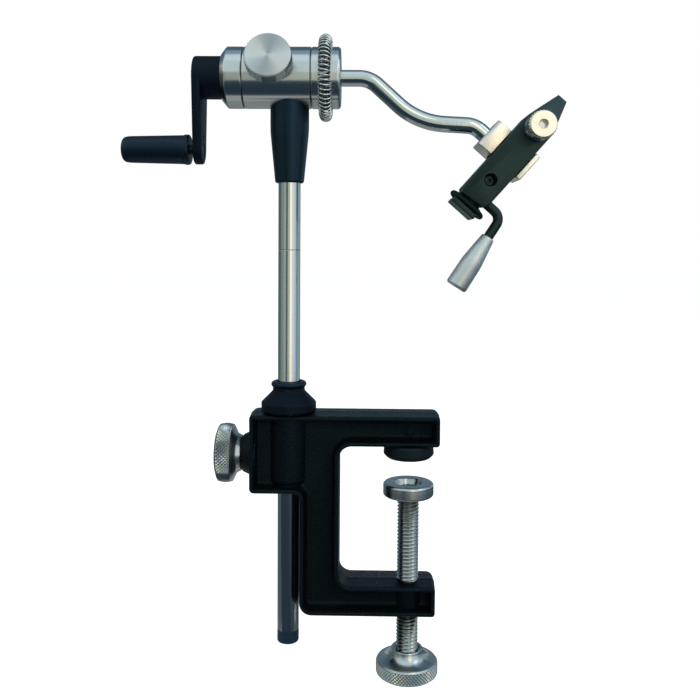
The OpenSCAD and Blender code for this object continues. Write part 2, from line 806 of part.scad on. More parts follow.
module collar_grub_screw() {
    color(black) along_head(collar_x0 + grub_r + gap) rotate([0, -90, 0])
        translate([0, 0, rod_r + gap]) cylinder(h = head_r - rod_r - 2 * gap, r = grub_r);
}

// The spring ring: one closed wire wound round the ring's centre line
wire_sides = 6;
curl_rings = 8;
coil_r = curl_r - wire_d / 2;
spring_mid = collar_x0 + spring_x;

function wire_at(t) =
    let (ring = t / curls, out = spring_ring_r + coil_r * cos(360 * t))
    [coil_r * sin(360 * t), out * cos(360 * ring), out * sin(360 * ring)];
function wire_point(i, j) =
    let (t = i / curl_rings, step = 1 / curl_rings / 8,
         along = unit(wire_at(t + step) - wire_at(t - step)),
         middle = [0, spring_ring_r * cos(360 * t / curls), spring_ring_r * sin(360 * t / curls)],
         out = unit(wire_at(t) - middle),
         side = unit(cross(along, out)), up = cross(side, along))
    wire_at(t) + (cos(360 * j / wire_sides) * up + sin(360 * j / wire_sides) * side) * wire_d / 2;

// Least distance between one turn's wire and the next, less the wire
spring_gap = min([for (i = [0:curl_rings - 1], k = [-4:4])
    norm(wire_at(i / curl_rings) - wire_at(i / curl_rings + 1 + k / 16))]) - wire_d;
echo(str("Least gap of the material spring to itself: ", spring_gap, " mm"));

module material_spring() {
    rings = curls * curl_rings;
    pts = [for (i = [0:rings - 1], j = [0:wire_sides - 1]) wire_point(i, j)];
    faces = [for (i = [0:rings - 1], j = [0:wire_sides - 1])
        let (i2 = (i + 1) % rings, j2 = (j + 1) % wire_sides,
             a = i * wire_sides + j, b = i * wire_sides + j2,
             c = i2 * wire_sides + j2, d = i2 * wire_sides + j)
        each [[a, b, c], [a, c, d]]];
    color(steel) translate([spring_mid, 0, head_z]) polyhedron(pts, faces);
}

// The crank's arm, seen along X: two round ends joined by straight flanks
module crank_outline() {
    lean = asin((crank_hub_r - crank_end_r) / crank_throw);
    side = [cos(lean), -sin(lean)];
    circle(crank_hub_r);
    translate([0, -crank_throw]) circle(crank_end_r);
    polygon([
        crank_hub_r * side, [0, -crank_throw] + crank_end_r * side,
        [0, -crank_throw] + crank_end_r * [-side[0], side[1]], crank_hub_r * [-side[0], side[1]]
    ]);
}

module crank_arm() {
    color(black) difference() {
        union() {
            translate([crank_x0, 0, head_z]) rotate([90, 0, 90]) linear_extrude(crank_t) crank_outline();
            along_head(crank_x0) cylinder(h = crank_t + crank_hub_w, r = crank_hub_r);
        }
        along_head(crank_x0 + gap - fit) cylinder(h = crank_t + crank_hub_w + cut, r = spindle_r + fit);
        along_grip(crank_x0 - cut) cylinder(h = crank_t + 2 * cut, r = grip_screw_r + fit);
        along_grip(crank_x1 - grip_screw_head_t) cylinder(h = crank_t, r = grip_screw_head_r + fit);
        translate([0, 0, pin_hole_up]) along_grip(crank_x0 - cut)
            cylinder(h = crank_t + 2 * cut, r = pin_hole_r);
        along_head(cap_x0 - crank_hub_w / 2) rotate([0, 90, 0])
            cylinder(h = crank_hub_r + cut, r = grub_r + fit);
    }
}

module crank_grub_screw() {
    color(steel) along_head(cap_x0 - crank_hub_w / 2) rotate([0, 90, 0])
        translate([0, 0, spindle_r + fit]) cylinder(h = crank_hub_r - spindle_r - gap, r = grub_r);
}

module grip_screw() {
    color(steel) {
        along_grip(crank_x1 - grip_screw_head_t + fit)
            cylinder(h = grip_screw_head_t - gap, r = grip_screw_head_r);
        along_grip(grip_x1 - grip_screw_reach) cylinder(
            h = grip_screw_reach + grip_gap + crank_t - grip_screw_head_t + 2 * fit, r = grip_screw_r);
    }
}

module crank_grip() {
    x0 = grip_x1 - grip_len;
    color(black) difference() {
        along_grip(x0) spun([
            [0, 0], [grip_end_r - 2 * grip_dome, grip_dome / 8], [grip_end_r - grip_dome, grip_dome / 3],
            [grip_end_r - grip_dome / 3, grip_dome], [grip_end_r, 2 * grip_dome],
            [grip_r - grip_lip, grip_len - grip_lip_w], [grip_r, grip_len - grip_lip_w + grip_lip],
            [grip_r, grip_len - grip_lip], [grip_r - grip_lip, grip_len], [0, grip_len]
        ]);
        along_grip(grip_x1 - grip_screw_reach - gap)
            cylinder(h = grip_screw_reach + gap + cut, r = grip_screw_r + fit);
    }
}

module jaw_arm() {
    color(steel) bent_rod(rod_r, [rod_start, head_z, 0], ROD);
}

module jaw_block() {
    color(satin) in_jaws() difference() {
        extrude_y(block_y0, block_y1)
            translate([-block_len / 2, block_w0]) square([block_len, block_w1 - block_w0]);
        extrude_y(block_y0 - cut, rear_y1) translate([-block_len / 2 - cut, -jaw_half_w - gap])
            square([block_len + 2 * cut, 2 * (jaw_half_w + gap)]);
        // the long front edge on the arm's side is bevelled
        translate([-block_len / 2 - cut, 0, 0]) rotate([90, 0, 90]) linear_extrude(block_len + 2 * cut)
            polygon([
                [block_y0 - cut, block_w1 - block_edge - cut], [block_y0 + block_edge + cut, block_w1 + cut],
                [block_y0 - cut, block_w1 + cut]
            ]);
        translate([block_u, 0, block_w1 - rod_in_block - fit])
            cylinder(h = rod_in_block + cut, r = rod_r + fit);
        along_y(block_u, block_w1 - block_arm_w / 2, block_y1 + cut)
            cylinder(h = block_y1 - rod_r + cut, r = block_screw_r + fit);
        along_y(0, 0, block_y1 + cut) cylinder(h = block_back_t + 2 * cut, r = fixing_r + fit);
        along_y(0, 0, block_y1 + cut) cylinder(h = fixing_head_t + cut, r = fixing_head_r + fit);
    }
}

module block_grub_screw() {
    color(black) in_jaws() along_y(block_u, block_w1 - block_arm_w / 2, block_y1 - gap)
        cylinder(h = block_y1 - rod_r - 3 * gap, r = block_screw_r);
}

// The jaws' outline, seen from the front, with a rounded heel
module jaw_outline(tail) {
    polygon([
        [-tail + heel_cut / 2, -jaw_half_w + heel_cut], [-tail + heel_cut * 3 / 2, -jaw_half_w],
        [taper_u - nose_w_share * heel_cut, -jaw_half_w], [nose_u, -jaw_half_w * nose_w_share],
        [jaw_nose, -tip_w / 2], [jaw_nose, tip_w / 2], [nose_u, jaw_half_w * nose_w_share],
        [taper_u - nose_w_share * heel_cut, jaw_half_w], [-tail + heel_cut, jaw_half_w],
        [-tail, jaw_half_w - heel_cut]
    ]);
}

// One jaw: the outline, thinned to the tip, with a neck and a flange behind the heel
module jaw_shape(inner_y, thick, outward, neck_r) {
    heel = jaw_tail - tail_w - ring_groove_w;
    y0 = min(inner_y, inner_y + outward * thick);
    y1 = max(inner_y, inner_y + outward * thick);
    outer = inner_y + outward * thick;
    intersection() {
        union() {
            extrude_y(y0, y1) jaw_outline(heel);
            intersection() {
                translate([-jaw_tail, 0, 0]) rotate([0, 90, 0]) cylinder(h = jaw_tail, r = neck_r);
                extrude_y(y0, y1) translate([-jaw_tail, -jaw_half_w]) square([jaw_tail, 2 * jaw_half_w]);
            }
            extrude_y(y0, y1) translate([-jaw_tail, -jaw_half_w + heel_cut / 2])
                square([tail_w, 2 * jaw_half_w - heel_cut / 2]);
        }
        translate([0, 0, -2 * jaw_half_w]) linear_extrude(4 * jaw_half_w) polygon([
            [-jaw_tail - cut, inner_y], [jaw_nose + cut, inner_y],
            [jaw_nose, inner_y + outward * tip_t], [taper_u, outer], [-jaw_tail - cut, outer]
        ]);
    }
}

module cam_groove() {
    translate([-cam_u, 0, -jaw_half_w - cut]) cylinder(h = 2 * jaw_half_w + 2 * cut, r = cam_bore);
}

module rear_jaw() {
    color(black) in_jaws() difference() {
        jaw_shape(rear_y0, rear_jaw_t, 1, rear_neck_r);
        cam_groove();
        along_y(0, 0, rear_y1 + cut) cylinder(h = rear_jaw_t / 2 + cut, r = fixing_r + fit);
        along_y(adjust_u, 0, rear_y1 + cut) cylinder(h = rear_jaw_t + 2 * cut, r = adjust_r + fit / 2);
        along_y(fulcrum_u, 0, rear_y0 + rear_jaw_t / 2) cylinder(h = rear_jaw_t, r = fulcrum_r + fit);
    }
}

module jaw_fixing_screw() {
    color(black) in_jaws() {
        along_y(0, 0, block_y1 - gap) cylinder(h = fixing_head_t - gap, r = fixing_head_r);
        along_y(0, 0, block_y1 - gap) cylinder(h = block_back_t + rear_jaw_t / 2 - 2 * gap, r = fixing_r);
    }
}

module front_jaw() {
    color(black) in_jaws() difference() {
        jaw_shape(front_y1, front_jaw_t, -1, front_neck_r);
        cam_groove();
        along_y(adjust_u, 0, cut) cylinder(h = front_jaw_t + 2 * cut, r = adjust_r + gap);
        along_y(fulcrum_u, 0, cut) cylinder(h = front_jaw_t + 2 * cut, r = fulcrum_r + gap);
        translate([fulcrum_u, front_y0, 0]) rotate([-90, 0, 0]) translate([0, 0, -fit])
            cylinder(h = sink_t, r1 = sink_r, r2 = fulcrum_r + gap);
    }
}

module fulcrum_screw() {
    start = rear_y0 + rear_jaw_t / 2 - fit;
    tip = front_y0 + front_jaw_t / 2;
    color(black) in_jaws() along_y(fulcrum_u, 0, start) difference() {
        cylinder(h = start - tip, r = fulcrum_r);
        translate([0, 0, start - tip - fulcrum_r]) cylinder(h = fulcrum_r + cut, r = fulcrum_r / 2, $fn = 6);
    }
}

module jaw_ring() {
    color(rubber) in_jaws() translate([jaw_ring_u, 0, 0]) rotate([0, 90, 0]) rotate_extrude()
        translate([rear_neck_r + gap + jaw_ring_r, 0]) circle(jaw_ring_r);
}

module adjusting_screw() {
    color(steel) in_jaws() along_y(adjust_u, 0, rear_y1 + adjust_head_t) {
        cylinder(h = adjust_head_t, r = 2 * adjust_r);
        cylinder(h = rear_y1 + adjust_head_t - nut_face_y - adjust_nut_len / 4, r = adjust_r);
    }
}

module adjusting_nut() {
    color(satin) in_jaws() along_y(adjust_u, 0, nut_back_y) difference() {
        spun([
            [0, 0], [adjust_nut_r - adjust_edge, 0], [adjust_nut_r, adjust_edge],
            [adjust_nut_r, adjust_nut_len - adjust_edge], [adjust_nut_r - adjust_edge, adjust_nut_len],
            [0, adjust_nut_len]
        ]);
        translate([0, 0, -cut]) cylinder(h = adjust_nut_len * 3 / 4 + cut + gap, r = adjust_r + fit);
        translate([0, 0, adjust_nut_len * 3 / 4]) cylinder(h = adjust_nut_len, r = nut_socket_r);
    }
}

module cam_lever() {
    color(black) in_jaws() {
        bent_rod(lever_r, [-cam_u, cam_end_w, -90], LEVER);
        translate([-cam_u, cam_throw, -cam_end_w]) cylinder(h = 2 * cam_end_w, r = lever_r);
    }
}

module lever_knob() {
    color(steel) in_jaws() translate([lever_end[0], 0, lever_end[1]]) rotate([0, 90 - lever_end[2], 0])
    difference() {
        spun([
            [0, 0], [lever_neck_r, 0], [lever_knob_r * knob_mid_share, lever_knob_len * knob_cone_share],
            [lever_knob_r, lever_knob_len - knob_edge], [lever_knob_r - knob_edge, lever_knob_len],
            [0, lever_knob_len]
        ]);
        translate([0, 0, -cut]) cylinder(h = lever_bore_len + cut + fit, r = lever_r + fit);
        translate([0, 0, lever_knob_len - knob_edge]) cylinder(h = cut + knob_edge, r = lever_knob_r / 2);
    }
}

clamp_frame();
fixed_pad();
fixed_pad_rivet();
swivel_pad();
pad_retaining_ring();
clamp_screw();
clamp_screw_knob();
lock_screw();
lock_screw_head();
lock_tip();
lower_post();
upper_post();
post_joint_stud();
post_end_cap();
stop_collar();
collar_ring();
collar_set_screw();
head_barrel();
neck_sleeve();
rear_bushing();
front_bushing();
brake_plug();
tension_screw();
tension_screw_head();
spindle();
rear_cap();
front_collar();
collar_grub_screw();
material_spring();
crank_arm();
crank_grub_screw();
grip_screw();
crank_grip();
jaw_arm();
jaw_block();
block_grub_screw();
rear_jaw();
jaw_fixing_screw();
front_jaw();
fulcrum_screw();
jaw_ring();
adjusting_screw();
adjusting_nut();
cam_lever();
lever_knob();
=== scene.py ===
from math import acos, asin, atan2, cos, hypot, pi, radians, sin, tan

import bmesh
import bpy
from mathutils import Matrix, Vector


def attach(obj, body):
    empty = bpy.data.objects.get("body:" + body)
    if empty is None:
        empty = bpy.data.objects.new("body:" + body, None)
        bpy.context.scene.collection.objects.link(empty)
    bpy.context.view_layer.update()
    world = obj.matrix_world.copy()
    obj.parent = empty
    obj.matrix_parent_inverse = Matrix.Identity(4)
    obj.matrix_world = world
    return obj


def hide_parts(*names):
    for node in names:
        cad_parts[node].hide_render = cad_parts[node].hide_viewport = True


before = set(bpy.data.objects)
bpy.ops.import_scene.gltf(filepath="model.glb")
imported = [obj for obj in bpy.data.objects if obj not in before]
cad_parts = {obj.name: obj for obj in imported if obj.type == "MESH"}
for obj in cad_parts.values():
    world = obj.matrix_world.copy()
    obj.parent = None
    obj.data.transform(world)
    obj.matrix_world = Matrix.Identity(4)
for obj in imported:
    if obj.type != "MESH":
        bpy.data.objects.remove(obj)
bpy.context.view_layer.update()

# Lengths are in millimetres, in the frame of the CAD model, and MM turns them into metres. Only the
# floor, the cards and the lights are given in metres.
MM = 0.001

# Driving sizes
GAP, FIT = 0.3, 0.05
PAD_H, ARM_T, THROAT_H, THROAT_D = 6.0, 13.6, 59.8, 29.75
UPPER_NOSE, LOWER_NOSE, UPRIGHT_W = 13.2, 11.8, 17.55
STEP_W, STEP_H, LOCK_DROP, LOCK_BOSS_H = 21.6, 34.3, 18.5, 3.4
POST_R, POST_DROP, JOINT_RISE, END_CAP_H = 4.7625, 101.9, 70.1, 5.6
HEAD_RISE, HEAD_R, HEAD_EDGE_R = 143.7, 13.0, 12.75
BARREL_REAR, BARREL_FRONT, CAP_W, COLLAR_W = 19.15, 9.3, 9.4, 12.3
HUB_W, HUB_R, CRANK_T, CRANK_END_R, CRANK_THROW = 8.2, 9.1, 3.8, 6.3, 30.7
GRIP_GAP, GRIP_LEN = 2.0, 29.3
CLAMP_R, PITCH, THREAD_DEPTH = 4.7625, 1.5875, 0.85
SWIVEL_DROP, SWIVEL_T, SWIVEL_DIP = 11.1, 5.8, 3.2
SCREW_TAIL, KNOB_R, KNOB_HUB_R, KNOB_HUB_H, KNOB_RIM_H = 17.1, 13.65, 6.9, 5.0, 6.6
TENSION_BACK, TILT_DEGREES = 7.3, 14
SLOPE_DEGREES, JAW_AT = 48.5, (42.5214, 130.7628)
CAM_U, ADJUST_U, FULCRUM_U = -22.3, 14.0, -14.8
JAW_NOSE, JAW_TAIL, JAW_HALF_W, TAPER_U, TIP_T = 32.2, 32.0, 6.6, 17.0, 1.3
FRONT_JAW_T, REAR_JAW_T, REAR_NECK_R = 9.0, 7.3, 6.05
LEVER_R, LEVER_START, LEVER_OUT, LEVER_BEND, LEVER_TURN, LEVER_RUN = 2.15, 5.6, 10.8, 4.5, -81, 6.3
# Radii of the bores for the post, the spindle, a grub screw, the grip screw and the fixing screw
POST_BORE, SPINDLE_BORE, GRUB_BORE, GRIP_SCREW_BORE, FIXING_BORE = POST_R + FIT, 6.05, 1.65, 2.85, 3.05

# Places that follow from them
TOP_Z = PAD_H + ARM_T
LOWER_Z = PAD_H - THROAT_H
BOTTOM_Z = LOWER_Z - ARM_T
INNER_X = -THROAT_D
BACK_X = INNER_X - UPRIGHT_W
STEP_X = BACK_X - STEP_W
STEP_Z = TOP_Z - STEP_H
LOCK_Z = TOP_Z - LOCK_DROP
POST_X = BACK_X - POST_R - GAP
HEAD_Z = TOP_Z + HEAD_RISE
BARREL_X0, BARREL_X1 = POST_X - BARREL_REAR, POST_X + BARREL_FRONT
CAP_X0 = BARREL_X0 - GAP - CAP_W
COLLAR_X0 = BARREL_X1 + GAP
COLLAR_X1 = COLLAR_X0 + COLLAR_W
CRANK_X1 = CAP_X0 - HUB_W
CRANK_X0 = CRANK_X1 - CRANK_T
CRANK_Z = HEAD_Z - CRANK_THROW
GRIP_X1 = CRANK_X0 - GRIP_GAP
SLOPE, TILT = radians(SLOPE_DEGREES), radians(TILT_DEGREES)


def frame_at(origin, x_axis, z_axis):
    """A matrix in metres: the local z and x axes point along the given directions."""
    z = Vector(z_axis).normalized()
    x = Vector(x_axis).normalized()
    y = z.cross(x)
    m = Matrix((x, y, z)).transposed().to_4x4()
    m.translation = Vector(origin) * MM
    return m


UPRIGHT = frame_at((0, 0, 0), (1, 0, 0), (0, 0, 1))
POST = frame_at((POST_X, 0, 0), (1, 0, 0), (0, 0, 1))
HEAD = frame_at((0, 0, HEAD_Z), (0, 0, -1), (1, 0, 0))
GRIP = frame_at((0, 0, CRANK_Z), (0, 0, -1), (1, 0, 0))
LOCK = frame_at((0, 0, LOCK_Z), (0, 0, -1), (1, 0, 0))
TENSION = frame_at((POST_X - TENSION_BACK, 0, HEAD_Z), (1, 0, 0), (0, -cos(TILT), sin(TILT)))
U_AXIS, W_AXIS = (cos(SLOPE), 0, sin(SLOPE)), (-sin(SLOPE), 0, cos(SLOPE))
# in the jaws' frame x runs along the jaws to the tip, y to the back and z across towards the arm
JAWS = frame_at((JAW_AT[0], 0, JAW_AT[1]), U_AXIS, W_AXIS)


def in_jaws(u, y, w):
    """A point of the jaws' frame, in the frame of the CAD model."""
    return (JAW_AT[0] + u * U_AXIS[0] + w * W_AXIS[0], y, JAW_AT[1] + u * U_AXIS[2] + w * W_AXIS[2])


# Materials


def links(tree, *pairs):
    for a, b in pairs:
        tree.links.new(a, b)


def fill(node, values):
    """Sets the node's inputs by name or number, and returns the node."""
    for key, value in values.items():
        node.inputs[key].default_value = value
    return node


def add_node(tree, kind, values=None):
    """A new shader node with its inputs set."""
    return fill(tree.nodes.new("ShaderNode" + kind), values or {})


def principled(name, values):
    """A new material and its main shader, with the shader's inputs set."""
    m = bpy.data.materials.new(name)
    m.use_nodes = True
    return m, fill(m.node_tree.nodes["Principled BSDF"], values)


def material(name, base, *, rough, grain, metallic=0.0, vary=0.15, rough_vary=0.15, stretch=(1, 1, 1),
             bump=0.0, bump_grain=None, fine=0.0, aniso=0.0, turned=False, spec=0.5, sheen=(1, 1, 1)):
    """A procedural finish. grain is in cells per metre, and stretch scales it along the piece's own axes.
    turned draws rings round the piece's own z axis, as a lathe leaves them. bump and fine are heights in
    millimetres, fine on a grain four times as close. sheen tints the highlights."""
    m, shader = principled(name, {
        "Metallic": metallic, "Specular IOR Level": spec, "Specular Tint": (*sheen, 1), "Anisotropic": aniso,
        "Anisotropic Rotation": 0.25})
    t = m.node_tree
    source = add_node(t, "TexCoord").outputs["Object"]
    if turned:
        # distance along the axis and distance from it, so that the marks run round the axis
        parts, flat, rings = add_node(t, "SeparateXYZ"), add_node(t, "CombineXYZ"), add_node(t, "CombineXYZ")
        radius = add_node(t, "VectorMath")
        radius.operation = "LENGTH"
        links(t, (source, parts.inputs[0]), (parts.outputs[0], flat.inputs[0]),
              (parts.outputs[1], flat.inputs[1]), (flat.outputs[0], radius.inputs[0]),
              (radius.outputs["Value"], rings.inputs[0]), (parts.outputs[2], rings.inputs[2]))
        source = rings.outputs[0]
    mapping = add_node(t, "Mapping", {"Scale": stretch})
    noise = add_node(t, "TexNoise", {"Scale": grain, "Detail": 4.0})
    ramp = add_node(t, "Mix")
    ramp.data_type = "RGBA"
    fill(ramp, {"A": (*[c * (1 - vary) for c in base], 1),
                "B": (*[min(1.0, c * (1 + vary)) for c in base], 1)})
    spread = add_node(t, "MapRange", {
        "From Min": 0.3, "From Max": 0.7, "To Min": rough * (1 - rough_vary),
        "To Max": min(1.0, rough * (1 + rough_vary))})
    links(t, (source, mapping.inputs["Vector"]), (mapping.outputs[0], noise.inputs["Vector"]),
          (noise.outputs["Fac"], ramp.inputs["Factor"]), (noise.outputs["Fac"], spread.inputs["Value"]),
          (ramp.outputs["Result"], shader.inputs["Base Color"]),
          (spread.outputs[0], shader.inputs["Roughness"]))
    if bump:
        relief = add_node(t, "TexNoise", {"Scale": bump_grain or grain, "Detail": 3.0})
        lift = add_node(t, "Bump", {"Strength": 1.0, "Distance": bump * MM})
        links(t, (mapping.outputs[0], relief.inputs["Vector"]),
              (relief.outputs["Fac"], lift.inputs["Height"]), (lift.outputs[0], shader.inputs["Normal"]))
        if fine:
            speck = add_node(t, "TexNoise", {"Scale": (bump_grain or grain) * 4})
            more = add_node(t, "Bump", {"Strength": 1.0, "Distance": fine * MM})
            links(t, (source, speck.inputs["Vector"]), (speck.outputs["Fac"], more.inputs["Height"]),
                  (lift.outputs[0], more.inputs["Normal"]), (more.outputs[0], shader.inputs["Normal"]))
    if aniso:
        tangent = add_node(t, "Tangent")
        tangent.direction_type = "RADIAL"
        tangent.axis = "Z"
        links(t, (tangent.outputs[0], shader.inputs["Tangent"]))
    return m


def metal(name, base, **finish):
    return material(name, base, metallic=1.0, **finish)


CASTING = material("black_casting", (0.0018, 0.0032, 0.0045), rough=0.32, vary=0.4, rough_vary=0.45,
                   grain=1400, bump=0.3, bump_grain=1400, fine=0.05, spec=0.16, sheen=(0.4, 0.75, 1.0))
RUBBER = material("black_rubber", (0.003, 0.005, 0.006), rough=0.55, grain=1500, bump=0.02, vary=0.3,
                  spec=0.22, sheen=(0.5, 0.85, 1.0))
BLACK_PLASTIC = material("black_plastic", (0.0022, 0.004, 0.006), rough=0.36, grain=700, bump=0.006,
                         bump_grain=2600, vary=0.2, spec=0.4, sheen=(0.32, 0.66, 1.0))
CAP_PLASTIC = material("cap_plastic", (0.006, 0.018, 0.035), rough=0.4, grain=700, bump=0.004, vary=0.2,
                       spec=0.35, sheen=(0.4, 0.7, 1.0))
ANODISED = material("black_anodised", (0.002, 0.0035, 0.006), rough=0.42, grain=900, bump=0.004,
                    bump_grain=3200, vary=0.2, spec=0.15, sheen=(0.42, 0.68, 1.0))
TURNED = metal("turned_steel", (0.56, 0.555, 0.53), rough=0.24, vary=0.06, rough_vary=0.1,
               grain=1.0, stretch=(2600, 2600, 2600), aniso=0.7, turned=True)
MACHINED = metal("machined_steel", (0.52, 0.525, 0.51), rough=0.27, vary=0.12,
                 rough_vary=0.25, grain=1.0, stretch=(1900, 1900, 1900), bump=0.003, bump_grain=1.5,
                 aniso=0.6, turned=True)
KNURLED = metal("knurled_steel", (0.4, 0.42, 0.41), rough=0.19, vary=0.1, grain=1600)
SPUN_FACE = metal("spun_face", (0.66, 0.655, 0.64), rough=0.5, vary=0.03, rough_vary=0.1,
                  grain=1.0, stretch=(3600, 3600, 3600), aniso=0.95, turned=True)
POLISHED = metal("polished_steel", (0.58, 0.575, 0.545), rough=0.12, vary=0.04,
                 rough_vary=0.3, grain=1200, stretch=(1, 1, 0.15))
BRIGHT = metal("bright_steel", (0.58, 0.58, 0.57), rough=0.26, vary=0.08, grain=1400,
               bump=0.004)
THREAD = metal("thread_steel", (0.33, 0.34, 0.32), rough=0.2, vary=0.1, rough_vary=0.3,
               grain=700)
SPRING = metal("spring_steel", (0.66, 0.66, 0.64), rough=0.12, vary=0.05, grain=1600)
# painted shade: a dark steel for the inner side of the spring's coils, standing in for the shade between the
# coils
PAINTED_COIL_SHADE = metal("coil_painted_shade", (0.07, 0.075, 0.075), rough=0.4, vary=0.1, grain=1600)
NICKEL = metal("satin_nickel", (0.86, 0.77, 0.66), rough=0.36, vary=0.06, rough_vary=0.2,
               grain=340, stretch=(1, 1, 7), bump=0.004, bump_grain=1800)
BLACK_STEEL = material("black_steel", (0.004, 0.006, 0.0055), rough=0.38, vary=0.3, rough_vary=0.2,
                       grain=1300, bump=0.016, bump_grain=2200, fine=0.004, spec=0.45,
                       sheen=(0.5, 0.85, 0.85))
STREAKED = metal("streaked_steel", (0.64, 0.65, 0.64), rough=0.5, vary=0.14, rough_vary=0.2,
                 grain=1500, stretch=(1, 1, 0.06), bump=0.004, bump_grain=1500)
BRONZE = metal("bronze", (0.5, 0.32, 0.15), rough=0.4, grain=1500, bump=0.01)
NYLON = material("nylon", (0.72, 0.7, 0.64), rough=0.45, grain=600, bump=0.004)

# Meshes

# Edges sharper than this, in degrees, are shaded as edges
SHARP = 32.0


def linked(name, data, matrix=None):
    """A new object in the scene."""
    obj = bpy.data.objects.new(name, data)
    bpy.context.scene.collection.objects.link(obj)
    if matrix is not None:
        obj.matrix_world = matrix
    return obj


def millimetre_mesh(name, verts, faces):
    """A new mesh of points given in millimetres, and a bmesh of it."""
    mesh = bpy.data.meshes.new(name)
    mesh.from_pydata([tuple(float(c) * MM for c in v) for v in verts], [], faces)
    bm = bmesh.new()
    bm.from_mesh(mesh)
    return mesh, bm


def finished(mesh, bm, finish, sharp):
    """Turns the faces outwards, writes the bmesh back and gives the mesh its shading and finish."""
    bmesh.ops.recalc_face_normals(bm, faces=bm.faces)
    bm.to_mesh(mesh)
    bm.free()
    mesh.shade_smooth()
    mesh.set_sharp_from_angle(angle=radians(sharp))
    mesh.materials.append(finish)


def mesh_object(name, verts, faces, finish, matrix=None, sharp=SHARP):
    """A smoothly shaded object of points given in millimetres."""
    mesh, bm = millimetre_mesh(name, verts, faces)
    finished(mesh, bm, finish, sharp)
    return linked(name, mesh, matrix)


def bands(rings, n, wrap=False):
    """Faces between neighbouring rings of n points; wrap also joins the last ring to the first."""
    return [(j * n + i, j * n + (i + 1) % n, k * n + (i + 1) % n, k * n + i)
            for j in range(rings if wrap else rings - 1) for k in [(j + 1) % rings] for i in range(n)]


def solid_faces(rings, n):
    """Faces of a solid through rings of n points, closed at both ends."""
    ends = [tuple(range(n)), tuple((rings - 1) * n + i for i in reversed(range(n)))]
    return ends + [(a, d, c, b) for a, b, c, d in bands(rings, n)]


class Soup:
    """Vertices and faces of several closed shapes that make up one piece."""

    def __init__(self):
        self.verts, self.faces = [], []

    def add(self, verts, faces):
        base = len(self.verts)
        self.verts += [tuple(v) for v in verts]
        self.faces += [tuple(i + base for i in f) for f in faces]


def place(obj, body, slot, *nodes):
    """Lets the piece ride on its body and replace the CAD nodes that it stands for. slot is not used."""
    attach(obj, body)
    if nodes:
        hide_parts(*nodes)
    return obj


def lathe(rows, n):
    """Verts and faces of a round piece about z. A row is (radius, z) or (radius, z, groove depth). Rows with
    a depth carry a diamond knurl: small pyramids between crossing grooves, four points apart both ways."""
    verts, faces, rings = [], [], []
    for j, row in enumerate(rows):
        r, z = row[0], row[1]
        depth = row[2] if len(row) > 2 else 0.0
        if r < 1e-6:
            rings.append([len(verts)])
            verts.append((0.0, 0.0, z))
            continue
        ring = []
        for i in range(n):
            climb = min((i + j) % 4, -(i + j) % 4, (i - j) % 4, -(i - j) % 4) / 2
            q = r - depth * (1 - climb)
            a = 2 * pi * i / n
            ring.append(len(verts))
            verts.append((q * cos(a), q * sin(a), z))
        rings.append(ring)
    for j in range(len(rings) - 1):
        a, b = rings[j], rings[j + 1]
        diamond = all(len(rows[k]) > 2 for k in (j, j + 1))
        for i in range(n):
            k = (i + 1) % n
            if len(a) == 1 and len(b) == 1:
                break
            if len(a) == 1:
                faces.append((a[0], b[k], b[i]))
            elif len(b) == 1:
                faces.append((a[i], a[k], b[0]))
            elif diamond and (i + j) % 2 == 0:
                faces += [(a[i], a[k], b[k]), (a[i], b[k], b[i])]
            elif diamond:
                faces += [(a[i], a[k], b[i]), (a[k], b[k], b[i])]
            else:
                faces.append((a[i], a[k], b[k], b[i]))
    return verts, faces


def eased(points, steps=4):
    """A half section of (r, z, easing): each corner with an easing is rounded by that radius."""
    out = []
    last = len(points) - 1
    for i, p in enumerate(points):
        ease = p[2] if len(p) > 2 else 0.0
        if not ease or i in (0, last):
            out.append((p[0], p[1]))
            continue
        here = Vector(p[:2])
        before, after = Vector(points[i - 1][:2]) - here, Vector(points[i + 1][:2]) - here
        reach = min(ease, before.length * 0.49, after.length * 0.49)
        a, b = here + before.normalized() * reach, here + after.normalized() * reach
        for k in range(steps + 1):
            s = k / steps
            q = a * (1 - s) ** 2 + here * 2 * s * (1 - s) + b * s ** 2
            out.append((q.x, q.y))
    return out


def knurled(r, z0, z1, depth, n, crown=0.0):
    """Rows of a knurled band between z0 and z1, with plain edges and an optional crown."""
    lead = 0.2
    rows = max(4, int(round((z1 - z0 - 2 * lead) / (2 * pi * r / n))))
    out = [(r - depth, z0)]
    for k in range(rows + 1):
        s = k / rows
        bulge = crown * (1 - (2 * s - 1) ** 2)
        out.append((r - crown + bulge, z0 + lead + (z1 - z0 - 2 * lead) * s, depth))
    return out + [(r - depth, z1)]


def tube(points, radius, sides, closed=False):
    """A round rod along points, with frames carried along so that it never twists."""
    pts = [Vector(p) for p in points]
    count = len(pts)
    tangents = []
    for i in range(count):
        a = pts[(i - 1) % count] if closed or i else pts[0]
        b = pts[(i + 1) % count] if closed or i < count - 1 else pts[-1]
        tangents.append((b - a).normalized())
    normal = tangents[0].orthogonal().normalized()
    verts = []
    for p, t in zip(pts, tangents):
        normal = (normal - t * normal.dot(t)).normalized()
        other = t.cross(normal)
        for k in range(sides):
            a = 2 * pi * k / sides
            verts.append(tuple(p + (normal * cos(a) + other * sin(a)) * radius))
    faces = bands(count, sides, closed)
    if not closed:
        faces.append(tuple(range(sides)))
        faces.append(tuple((count - 1) * sides + k for k in reversed(range(sides))))
    return verts, faces


